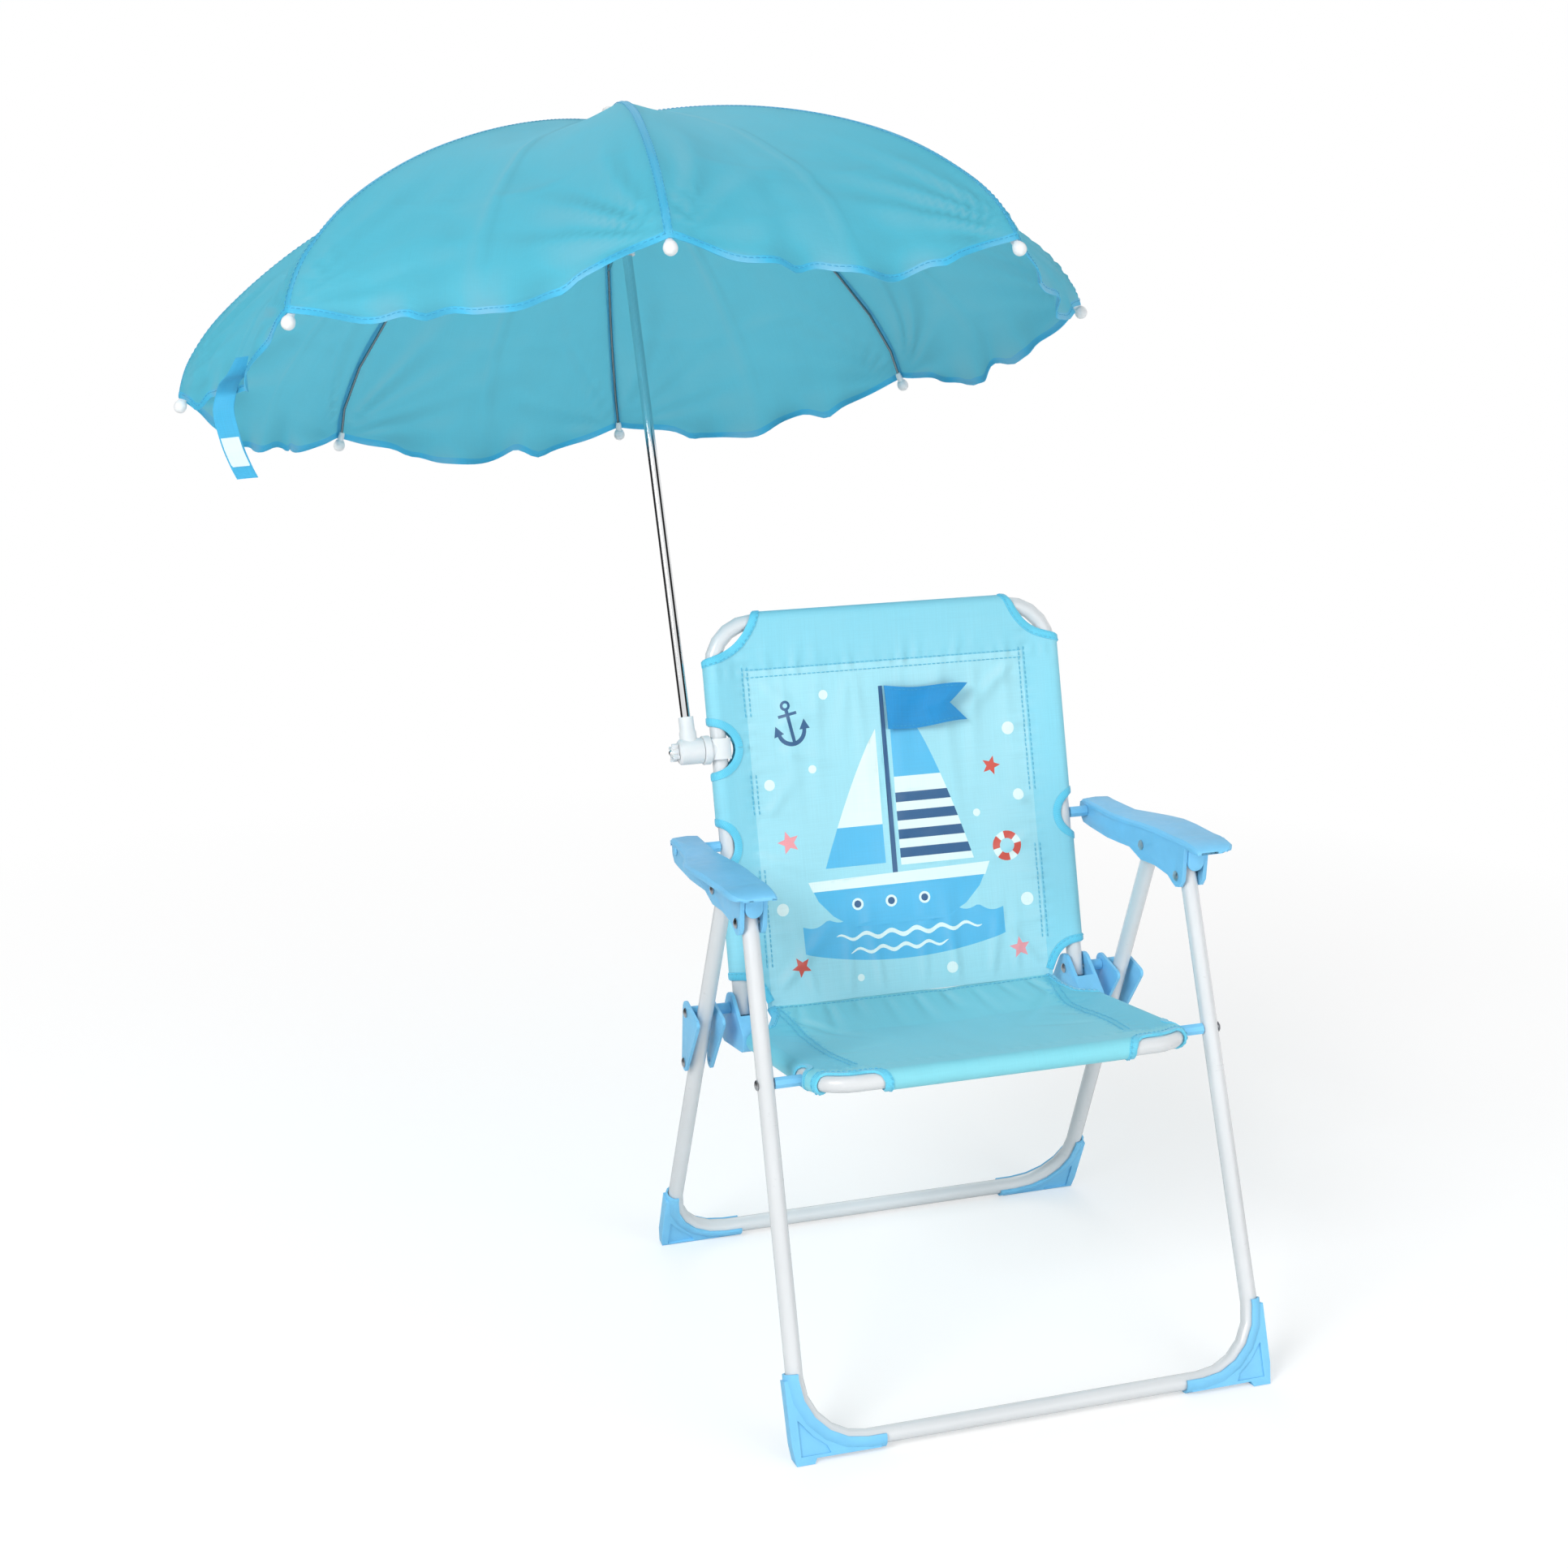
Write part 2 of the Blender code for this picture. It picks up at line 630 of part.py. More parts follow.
def brackets():
    """Hinge brackets: a sleeve on the seat tube and a cheeked socket for the back tube."""
    half = TUBE_R + SIDE_PLAY + BRACKET_WALL
    tail = along(SEAT_REAR, SEAT_FORE, -SEAT_TAIL - BRACKET_TAIL_REACH)
    nose = along(SEAT_REAR, SEAT_FORE, BRACKET_NOSE_REACH)
    outline = wrapped(((HINGE, BRACKET_R), (tail, BRACKET_TAIL_R), (nose, BRACKET_NOSE_R)))
    slot = TUBE_R + SIDE_PLAY
    upright = QUARTER - RECLINE
    folded = upright + FOLD_ANGLE + FOLD_SPARE
    swing = math.hypot(BACK_TAIL, TUBE_R) + CLEAR
    reach = 4 * BRACKET_R
    rear_side = turned_about((1.0, 0.0), upright - QUARTER)
    low_side = turned_about((1.0, 0.0), folded + QUARTER)
    pocket = arc(HINGE, swing, upright - QUARTER, folded + QUARTER - FULL_TURN, 12)
    pocket += [tuple(along(along(HINGE, low_side, slot), turned_about((1.0, 0.0), folded), reach)),
               tuple(along(HINGE, turned_about((1.0, 0.0), (upright + folded) / 2), 2 * reach)),
               tuple(along(along(HINGE, rear_side, slot), BACK_UP, reach))]
    for side, label in SIDE_NAMES.items():
        low, high = side * (BACK_X - half), side * (BACK_X + half)
        bracket = make("hinge_bracket_" + label, side_prism([outline], low, high), SEAT, BLUE_PLASTIC)
        low, high = side * (BACK_X - slot), side * (BACK_X + slot)
        combine(bracket, cutter("socket_cut_" + label, side_prism([pocket], low, high), SEAT))
        end = side_point(side * BACK_X, along(SEAT_REAR, SEAT_FORE, -SEAT_TAIL - CLEAR))
        front = side_point(side * BACK_X, along(nose, SEAT_FORE, 2 * BRACKET_R))
        combine(bracket, cutter("tube_cut_" + label, sweep([end, front], TUBE_R + CLEAR), SEAT))
        hole = cross_bar(min(low, high) - 2 * half, max(low, high) + 2 * half, HINGE, RIVET_R + CLEAR)
        combine(bracket, cutter("bracket_hole_" + label, hole, SEAT))


LINK_X = leg_x(LINK_PIVOT_DROP * 0.8)
LINK_INNER = LINK_X - TUBE_R - LINK_PLAY
LINK_OUTER = LINK_X + TUBE_R + LINK_PLAY
BRACKET_FACE = BACK_X + TUBE_R + SIDE_PLAY + BRACKET_WALL


def links():
    """Fold links: two plates astride the rear leg, joined by a boss round the hinge rivet."""
    lobe = along(HINGE, Vector((-1.0, 0.0)), LINK_LOBE_AHEAD)
    outline = wrapped(((HINGE, LINK_TOP_R), (LINK_PIVOT, LINK_FOOT_R), (lobe, LINK_LOBE_R)))
    for side, label in SIDE_NAMES.items():
        carrier = LINKS[side]
        low, high = side * (LINK_INNER - LINK_PLATE), side * LINK_INNER
        link = make("fold_link_" + label, side_prism([outline], low, high), carrier, BLUE_PLASTIC)
        low, high = side * LINK_OUTER, side * (LINK_OUTER + LINK_PLATE)
        plate = cutter("link_plate_" + label, side_prism([outline], low, high), carrier)
        combine(link, plate, "UNION")
        ends = sorted((side * (LINK_INNER - LINK_PLATE / 2), side * (LINK_OUTER + LINK_PLATE / 2)))
        boss = cutter("link_boss_" + label, cross_bar(*ends, HINGE, LINK_BOSS_R, SPACER_SIDES), carrier)
        combine(link, boss, "UNION")
        ends = sorted((side * BRACKET_FACE, side * (LINK_OUTER + 2 * LINK_PLATE)))
        for spot, place in (("top", HINGE), ("foot", LINK_PIVOT)):
            hole = cross_bar(*ends, place, RIVET_R + CLEAR)
            combine(link, cutter(f"link_{spot}_hole_{label}", hole, carrier))
        face = LINK_OUTER + LINK_PLATE + CLEAR
        stub = LINK_OUTER + CLEAR
        make("rivet_link_foot_" + label, pin(side, stub, face, LINK_PIVOT, inner_head=False),
             carrier, RIVET_STEEL)
        inner = BACK_X - TUBE_R - SIDE_PLAY - BRACKET_WALL - CLEAR
        make("rivet_hinge_" + label, pin(side, inner, face, HINGE), SEAT, RIVET_STEEL)
        start, end = side * (BRACKET_FACE + CLEAR), side * (LINK_INNER - LINK_PLATE - CLEAR)
        bore = RIVET_R + CLEAR
        tube = [(start, bore), (start, SPACER_R), (end, SPACER_R), (end, bore)]
        make("spacer_hinge_" + label,
             turned(tube, side_point(0.0, HINGE), sides=SPACER_SIDES, looped=True), SEAT, BLUE_PLASTIC)


def seat_pins():
    """Spacers on the seat tube that meet the front legs, and the rivets in those legs."""
    x = leg_x(SEAT_PIVOT_DROP)
    for side, label in SIDE_NAMES.items():
        face = x - TUBE_R - CLEAR
        collar = (BACK_X + TUBE_R + CLEAR, face)
        make("spacer_seat_" + label,
             pin(side, BACK_X - TUBE_R - CLEAR, face, SEAT_PIVOT, collar, outer_head=False),
             SEAT, BLUE_PLASTIC)
        make("rivet_seat_" + label,
             pin(side, x - TUBE_R, x + TUBE_R + CLEAR, SEAT_PIVOT, inner_head=False),
             FRONT_LEGS, RIVET_STEEL)


def feet():
    """Corner feet: a sleeve round the bend with a webbed toe down to the floor."""
    for name, top, heading, carrier in (("front", ARM_FRONT, FRONT_UP, FRONT_LEGS),
                                        ("rear", ARM_MID, REAR_UP, REAR_LEGS)):
        for side, label in SIDE_NAMES.items():
            foot(f"foot_{name}_{label}", top, heading, side, carrier)


def foot(name, top, heading, side, carrier):
    floor = along(top, heading, -top[1] / heading[1])
    bar_level = BAR_RISE / heading[1]
    bar_x = leg_x((top[1] - BAR_RISE) / heading[1])
    normal = Vector((heading[1], -heading[0]))

    def place(x, level, depth):
        yz = floor + heading * level + normal * depth
        return side_point(side * x, yz)

    outer = TUBE_R + CLEAR + FOOT_SKIN
    bend_x, bend_level = bar_x - LEG_BEND_R, bar_level + LEG_BEND_R
    head = place(bar_x - (FOOT_LENGTH - bar_level) * math.tan(LEG_SPLAY), FOOT_LENGTH, 0.0)
    corner = place(bar_x, bar_level, 0.0)
    end = place(bar_x - FOOT_LENGTH, bar_level, 0.0)
    path = rounded([head, corner, end], (LEG_BEND_R,), FOOT_STEPS)
    sleeve = make(name, sweep(path, outer), carrier, BLUE_PLASTIC)

    toe = bar_x + FOOT_TOE
    sink = OVERRUN / 2
    heel = bar_x - FOOT_LENGTH + FOOT_RIM
    web = [(bar_x - FOOT_RIM, FOOT_LENGTH - FOOT_RIM), (bar_x + outer * 0.97, FOOT_LENGTH - FOOT_RIM),
           (toe + FOOT_ARCH, bar_level + FOOT_RIM), (toe, -sink), (toe - FOOT_SOLE, -sink),
           (toe - FOOT_SOLE - FOOT_ARCH, FOOT_ARCH), (heel, bar_level - outer * 0.9),
           (heel, bar_level)]
    steps = FOOT_STEPS
    web += [(bend_x + LEG_BEND_R * math.sin(QUARTER * k / steps),
             bend_level - LEG_BEND_R * math.cos(QUARTER * k / steps)) for k in range(1, steps)]
    combine(sleeve, cutter(name + "_web", prism([web], place, -FOOT_WEB / 2, FOOT_WEB / 2), carrier), "UNION")

    long_path = rounded([place(bar_x - FOOT_LENGTH * math.tan(LEG_SPLAY), 2 * FOOT_LENGTH, 0.0), corner,
                         place(bar_x - 2 * FOOT_LENGTH, bar_level, 0.0)], (LEG_BEND_R,), BEND_STEPS)
    combine(sleeve, cutter(name + "_bore", sweep(long_path, TUBE_R + CLEAR), carrier))

    inside = LEG_BEND_R - FOOT_WRAP
    hollow = [(bend_x + inside * math.sin(QUARTER * k / steps),
               bend_level - inside * math.cos(QUARTER * k / steps)) for k in range(steps + 1)]
    hollow = ([(bar_x - 2 * FOOT_LENGTH, bend_level - inside)] + hollow
              + [(bend_x + inside - FOOT_LENGTH * math.tan(LEG_SPLAY), 2 * FOOT_LENGTH),
                 (bar_x - 2 * FOOT_LENGTH, 2 * FOOT_LENGTH)])
    combine(sleeve, cutter(name + "_mouth", prism([hollow], place, -2 * outer, 2 * outer), carrier))

    recess = [(toe - FOOT_RIM, bar_level + LEG_BEND_R * 0.42), (toe - FOOT_RIM, FOOT_RIM),
              (bar_x - LEG_BEND_R * 0.42, FOOT_RIM)]
    recess += [(bend_x + (LEG_BEND_R + outer) * math.sin(angle),
                bend_level - (LEG_BEND_R + outer) * math.cos(angle))
               for angle in (QUARTER * 0.36, QUARTER * 0.5, QUARTER * 0.64)]
    for face in (-1, 1):
        near, far = face * (FOOT_WEB / 2 - FOOT_RECESS), face * outer
        dish = prism([recess], place, min(near, far), max(near, far))
        combine(sleeve, cutter(f"{name}_recess_{face + 1}", dish, carrier))

    slab = side_prism([[(floor[0] - FOOT_LENGTH, -FOOT_LENGTH), (floor[0] + FOOT_LENGTH, -FOOT_LENGTH),
                        (floor[0] + FOOT_LENGTH, 0.0), (floor[0] - FOOT_LENGTH, 0.0)]],
                      side * (bar_x - 2 * FOOT_LENGTH), side * (bar_x + FOOT_LENGTH))
    combine(sleeve, cutter(name + "_floor", slab, carrier))


def sleeve_line(reach, rise):
    """The cloth's way round a tube: stitch line, round the tube, and back to the stitch line.

    Each entry is the length of cloth used, the place outward of the tube and the height over it.
    """
    size = TUBE_R + SLEEVE_GAP + CLOTH / 2
    start = (-reach, rise)
    end = (SLEEVE_FLAP_IN - reach, rise - CLOTH - SLEEVE_GAP)
    tangents = []
    for point, turn in ((start, 1), (end, -1)):
        distance = math.hypot(*point)
        heading = math.atan2(point[1], point[0]) - turn * math.acos(size / distance)
        tangents.append(heading)
    first, last = tangents
    if last > first:
        last -= FULL_TURN
    points = [start]
    for k in range(SLEEVE_STEPS + 1):
        angle = first + (last - first) * k / SLEEVE_STEPS
        points.append((size * math.cos(angle), size * math.sin(angle)))
    points.append(end)
    used = 0.0
    line = [(used, *points[0])]
    for before, after in zip(points, points[1:]):
        used += math.dist(before, after)
        line.append((used, *after))
    return line


def on_line(line, used):
    """Place and height on a sleeve line after a length of cloth."""
    for before, after in zip(line, line[1:]):
        if used <= after[0]:
            break
    share = (used - before[0]) / (after[0] - before[0])
    return (before[1] + (after[1] - before[1]) * share, before[2] + (after[2] - before[2]) * share)


def outer_side(line):
    """Length of cloth from the stitch line to the tube's outer side."""
    return max(line, key=lambda entry: entry[1])[0]


def oval(centre, width, height, steps):
    """An oval loop in the flat cloth."""
    return [(centre[0] + width * math.cos(FULL_TURN * k / steps),
             centre[1] + height * math.sin(FULL_TURN * k / steps)) for k in range(steps)]


def inside(point, loop):
    """Whether a flat point lies inside a loop."""
    hit = False
    for (x1, y1), (x2, y2) in zip(loop, loop[1:] + loop[:1]):
        if (y1 > point[1]) != (y2 > point[1]):
            if point[0] < x1 + (point[1] - y1) * (x2 - x1) / (y2 - y1):
                hit = not hit
    return hit


def cut_cloth(loops, folds):
    """Triangles of a flat cloth with holes, split along its fold lines."""
    points, edges = [], []
    for loop in loops:
        first = len(points)
        points += loop
        edges += [(first + i, first + (i + 1) % len(loop)) for i in range(len(loop))]
    for start, end in folds:
        edges.append((len(points), len(points) + 1))
        points += [start, end]
    found = geometry.delaunay_2d_cdt([Vector(p) for p in points], edges, [], 0, CLEAR / 10)
    places = [tuple(place) for place in found[0]]
    kept = []
    for face in found[2]:
        middle = (sum(places[i][0] for i in face) / len(face), sum(places[i][1] for i in face) / len(face))
        if inside(middle, loops[0]) and not any(inside(middle, hole) for hole in loops[1:]):
            kept.append(tuple(face))
    return places, kept


def thick_cloth(name, places, faces, lift, carrier):
    """Lift the flat triangles into space and give them the cloth's thickness."""
    used = sorted({i for face in faces for i in face})
    index = {old: new for new, old in enumerate(used)}
    spots = [lift(*places[i]) for i in used]
    faces = [tuple(index[i] for i in face) for face in faces]
    normals = [Vector() for spot in spots]
    for a, b, c in faces:
        normal = (spots[b] - spots[a]).cross(spots[c] - spots[a])
        for i in (a, b, c):
            normals[i] += normal
    mesh = bmesh.new()
    over = [mesh.verts.new(s + n.normalized() * (CLOTH / 2)) for s, n in zip(spots, normals)]
    under = [mesh.verts.new(s - n.normalized() * (CLOTH / 2)) for s, n in zip(spots, normals)]
    sides = {}
    for a, b, c in faces:
        mesh.faces.new((over[a], over[b], over[c]))
        mesh.faces.new((under[c], under[b], under[a]))
        for i, j in ((a, b), (b, c), (c, a)):
            sides[(i, j)] = True
    for i, j in sides:
        if (j, i) not in sides:
            mesh.faces.new((over[j], over[i], under[i], under[j]))
    return make(name, mesh, carrier, SLING_CLOTH)


def sling(name, root, heading, front, across, ahead, outline, holes, rise, carrier):
    """One sling panel: flat pattern, sleeves on both long sides and on the far end."""
    side_stitch, side_line = across
    end_stitch, end_line = ahead
    side_tangent, end_tangent = side_line[1][0], end_line[1][0]

    def lift(u, v):
        beside = abs(u) - side_stitch
        beyond = v - end_stitch
        x, up, height = abs(u), v, rise(v)
        if beyond > 0:
            place, level = on_line(end_line, beyond)
            up, height = end_stitch - end_line[0][1] + place, level
        if beside > 0:
            place, level = on_line(side_line, beside)
            x = side_stitch - side_line[0][1] + place
            share = min(beside / side_tangent, 1.0)
            level += (rise(v) - side_line[0][2]) * (1 - share)
            height = level if beside >= side_tangent else max(height if beyond > 0 else level, level)
        return side_point(math.copysign(x, u), along(along(root, heading, up), front, height))

    full = outline + [(-u, v) for u, v in reversed(outline)]
    reach = side_stitch + side_line[-1][0]
    far = end_stitch + end_line[-1][0]
    folds = []
    for used, place, level in side_line[:-1]:
        for side in (-1, 1):
            folds.append(((side * (side_stitch + used), -far), (side * (side_stitch + used), far)))
    for used, place, level in end_line[:-1]:
        folds.append(((-reach, end_stitch + used), (reach, end_stitch + used)))
    places, faces = cut_cloth([full] + holes, folds)
    return thick_cloth(name, places, faces, lift, carrier)


def bite(start, end, sag, steps=5):
    """A hollow curve from one point of the outline to another."""
    start, end = Vector(start), Vector(end)
    way = end - start
    inward = Vector((-way[1], way[0]))
    return [tuple(start + way * (k / steps) + inward * (sag * math.sin(math.pi * k / steps)))
            for k in range(steps + 1)]


def slings():
    """The back and seat panels of one sewn cloth sling."""
    side_line = sleeve_line(SLEEVE_REACH, BACK_SHEET_RISE)
    stitch = BACK_X - SLEEVE_REACH
    edge = stitch + side_line[-1][0]
    rim = stitch + outer_side(side_line)
    top_line = sleeve_line(TOP_SLEEVE_REACH, BACK_SHEET_RISE)
    top_stitch = BACK_LENGTH - TOP_SLEEVE_REACH
    crown = top_stitch + top_line[-1][0]
    crest = top_stitch + outer_side(top_line)
    seam_half = BACK_X - SEAM_INSET
    crown_half = BACK_X - BACK_BEND_R - CLOTH
    outline = [(seam_half, -SEAM_DROP)]
    outline += bite((seam_half, 0.0), (rim, SLING_FOOT_GAP), BITE_SAG)
    outline += [(edge, SLING_FOOT_GAP), (edge, top_stitch)]
    outline += bite((rim, top_stitch), (crown_half, crest), BITE_SAG)
    outline += [(crown_half, crown)]
    holes = [oval((side * rim, ARM_REAR_RISE), ARM_NOTCH_R, ARM_NOTCH_R, 16) for side in (-1, 1)]
    holes.append(oval((-rim, CLAMP_RISE), CLAMP_NOTCH_REACH, CLAMP_NOTCH_R, 18))
    front = Vector((-BACK_UP[1], BACK_UP[0]))
    sling("sling_back", HINGE, BACK_UP, front, (stitch, side_line), (top_stitch, top_line),
          outline, holes, lambda v: BACK_SHEET_RISE, BACK)

    side_line = sleeve_line(SLEEVE_REACH, SEAT_SHEET_RISE)
    edge = stitch + side_line[-1][0]
    rim = stitch + outer_side(side_line)
    length = (SEAT_PIVOT - SEAT_REAR).length
    nose_line = sleeve_line(SLEEVE_REACH, SEAT_SHEET_RISE)
    nose_stitch = length + SEAT_NOSE - SLEEVE_REACH
    lip = nose_stitch + nose_line[-1][0]
    nose = nose_stitch + outer_side(nose_line)
    front = Vector((SEAT_FORE[1], -SEAT_FORE[0]))
    seam = along(along(HINGE, BACK_UP, -SEAM_DROP), Vector((-1.0, 0.0)), SEAM_GAP) - SEAT_REAR
    seam_v, seam_rise = seam.dot(SEAT_FORE), seam.dot(front)
    clear = BRACKET_NOSE_REACH + BRACKET_NOSE_R + CLOTH
    lip_half = BACK_X - SEAT_BEND_R - LIP_INSET
    outline = [(seam_half, seam_v), (seam_half + CLOTH, clear * 0.5), (seam_half + SEAM_INSET * 0.4, clear * 0.85),
               (rim - TUBE_R, clear), (edge, clear), (edge, length + SLEEVE_PAST_SPACER)]
    outline += bite((rim, length + SLEEVE_PAST_SPACER), (lip_half, nose), BITE_SAG * 1.4)
    outline += [(lip_half, lip)]
    holes = [oval((side * rim, length - SPACER_R), SEAT_NOTCH_R, SEAT_NOTCH_R, 12) for side in (-1, 1)]

    def rise(v):
        share = min(max((v - seam_v) / (SEAM_BLEND - seam_v), 0.0), 1.0)
        return seam_rise + (SEAT_SHEET_RISE - seam_rise) * share

    sling("sling_seat", SEAT_REAR, SEAT_FORE, front, (stitch, side_line), (nose_stitch, nose_line),
          outline, holes, rise, SEAT)


def clamp():
    """Clip round the back tube, toothed ring, tilting socket, bolt and wing nut."""
    tube_x = -BACK_X
    middle = side_point(tube_x, CLAMP)
    up = side_point(0.0, BACK_UP)
    half = CLIP_WIDTH / 2
    barrel_end = tube_x - half - RING_WIDTH
    clip = make("clamp_clip", turned([(-half, CLIP_R), (half, CLIP_R)], middle, up, sides=16), BACK, WHITE_PLASTIC)
    boss = turned([(tube_x, RING_R * 0.8), (tube_x - half, RING_R * 0.8), (tube_x - half, RING_R),
                   (barrel_end, RING_R)], side_point(0.0, CLAMP), sides=2 * RING_TEETH)
    combine(clip, cutter("clip_ring", boss, BACK), "UNION")
    way = turned([(-2 * half, TUBE_R + CLEAR), (2 * half, TUBE_R + CLEAR)], middle, up, sides=16)
    combine(clip, cutter("clip_tube_way", way, BACK))
    mouth = [(-TUBE_R * 0.8, 0.0), (TUBE_R * 0.8, 0.0), (TUBE_R, 2 * CLIP_R), (-TUBE_R, 2 * CLIP_R)]
    normal = Vector((BACK_UP[1], -BACK_UP[0]))

    def mouth_place(across, out, height):
        return side_point(tube_x + out, along(along(CLAMP, normal, across), BACK_UP, height))

    combine(clip, cutter("clip_mouth", prism([mouth], mouth_place, -2 * half, 2 * half), BACK))
    bolt_way = cross_bar(barrel_end - OVERRUN, tube_x, CLAMP, BOLT_R + CLEAR)
    combine(clip, cutter("clip_bolt_way", bolt_way, BACK))

    inner = barrel_end - CLEAR
    outer = inner - SOCKET_WIDTH
    axis = pole_axis()
    edge = ARM_EDGE
    barrel = turned([(inner, SOCKET_BARREL_R), (outer + edge, SOCKET_BARREL_R),
                     (outer, SOCKET_BARREL_R - edge)], side_point(0.0, CLAMP), sides=16)
    socket = make("clamp_socket", barrel, SOCKET, WHITE_PLASTIC)
    base = side_point(CLAMP_X, CLAMP)
    sleeve = turned([(0.0, SOCKET_R), (SOCKET_HEIGHT * 0.55, SOCKET_R), (SOCKET_HEIGHT * 0.62, SOCKET_TIP_R),
                     (SOCKET_HEIGHT, SOCKET_TIP_R)], base, axis, sides=16)
    combine(socket, cutter("socket_sleeve", sleeve, SOCKET), "UNION")
    bore = turned([(SOCKET_FLOOR, POLE_R + CLEAR), (SOCKET_HEIGHT + OVERRUN, POLE_R + CLEAR)], base, axis, sides=12)
    combine(socket, cutter("socket_bore", bore, SOCKET))
    way = cross_bar(outer - OVERRUN, inner + OVERRUN, CLAMP, BOLT_R + CLEAR)
    combine(socket, cutter("socket_bolt_way", way, SOCKET))

    head = tube_x - TUBE_R - CLEAR * 2
    tip = outer - NUT_WIDTH - CLEAR * 2
    profile = [(head, 0.0), (head, BOLT_R), (tip, BOLT_R), (tip - BOLT_R / 2, BOLT_R / 2), (tip - BOLT_R / 2, 0.0)]
    make("clamp_bolt", turned(profile, side_point(0.0, CLAMP), sides=12), BACK, RIVET_STEEL)

    near, far = outer - CLEAR, outer - CLEAR - NUT_WIDTH
    hub = turned([(near, NUT_HUB_R), (far, NUT_HUB_R * 0.8)], side_point(0.0, CLAMP), sides=16)
    nut = make("wing_nut", hub, NUT, WHITE_PLASTIC)
    for k in range(NUT_WINGS):
        turn = FULL_TURN * k / NUT_WINGS + POLE_LEAN
        out = Vector((math.cos(turn), math.sin(turn)))
        cross = Vector((-out[1], out[0])) * (NUT_WING_T / 2)
        root, rim = CLAMP + out * (NUT_HUB_R * 0.6), CLAMP + out * (NUT_HUB_R + NUT_WING / 2)
        blade = [tuple(root + cross), tuple(rim + cross), tuple(rim - cross), tuple(root - cross)]
        wing = side_prism([blade], near - CLEAR, far + CLEAR)
        combine(nut, cutter(f"nut_wing_{k}", wing, NUT), "UNION")
    way = cross_bar(far - OVERRUN, near + OVERRUN, CLAMP, BOLT_R + CLEAR, 12)
    combine(nut, cutter("nut_way", way, NUT))


def pole_axis():
    """The pole's direction: it leans to the rear and a little to the side."""
    return Vector((-math.sin(POLE_SIDE_LEAN), math.sin(POLE_LEAN), math.cos(POLE_LEAN))).normalized()


def umbrella_frame():
    """Origin at the socket's mouth, with the pole's axis and two cross directions."""
    axis = pole_axis()
    base = side_point(CLAMP_X, CLAMP) + axis * SOCKET_HEIGHT
    rear = axis.cross(X_AXIS).normalized()
    return base, axis, rear.cross(axis), rear


def rim_point(radius, height, angle):
    """A point round the pole, its height counted from the plane of the rib tips."""
    base, axis, right, rear = umbrella_frame()
    return (base + axis * (RIM_HEIGHT + height)
            + (right * math.cos(angle) + rear * math.sin(angle)) * radius)


def rib_height(radius):
    """Height of the ribs' line over the plane of their tips."""
    return CROWN_HEIGHT * max(1 - (radius / RIM_RADIUS) ** CROWN_TAPER, 0.0) ** CROWN_FULLNESS


def rib_lean(radius):
    """The slope of the ribs' line, as an angle below the plane of their tips."""
    near, far = radius - CLEAR, min(radius + CLEAR, RIM_RADIUS)
    return math.atan2(rib_height(near) - rib_height(far), far - near)


def ring_radius(share):
    """Distance from the pole at a share of the way from the crown hole to the hem."""
    return CROWN_HOLE_R + (RIM_RADIUS - CROWN_HOLE_R) * math.sin(share * QUARTER)


def under_canopy(share, drop, angle):
    """A point on a rib's line, at a drop square to the canopy below it."""
    radius = ring_radius(share)
    lean = rib_lean(radius)
    return rim_point(radius - drop * math.sin(lean), rib_height(radius) - drop * math.cos(lean), angle)


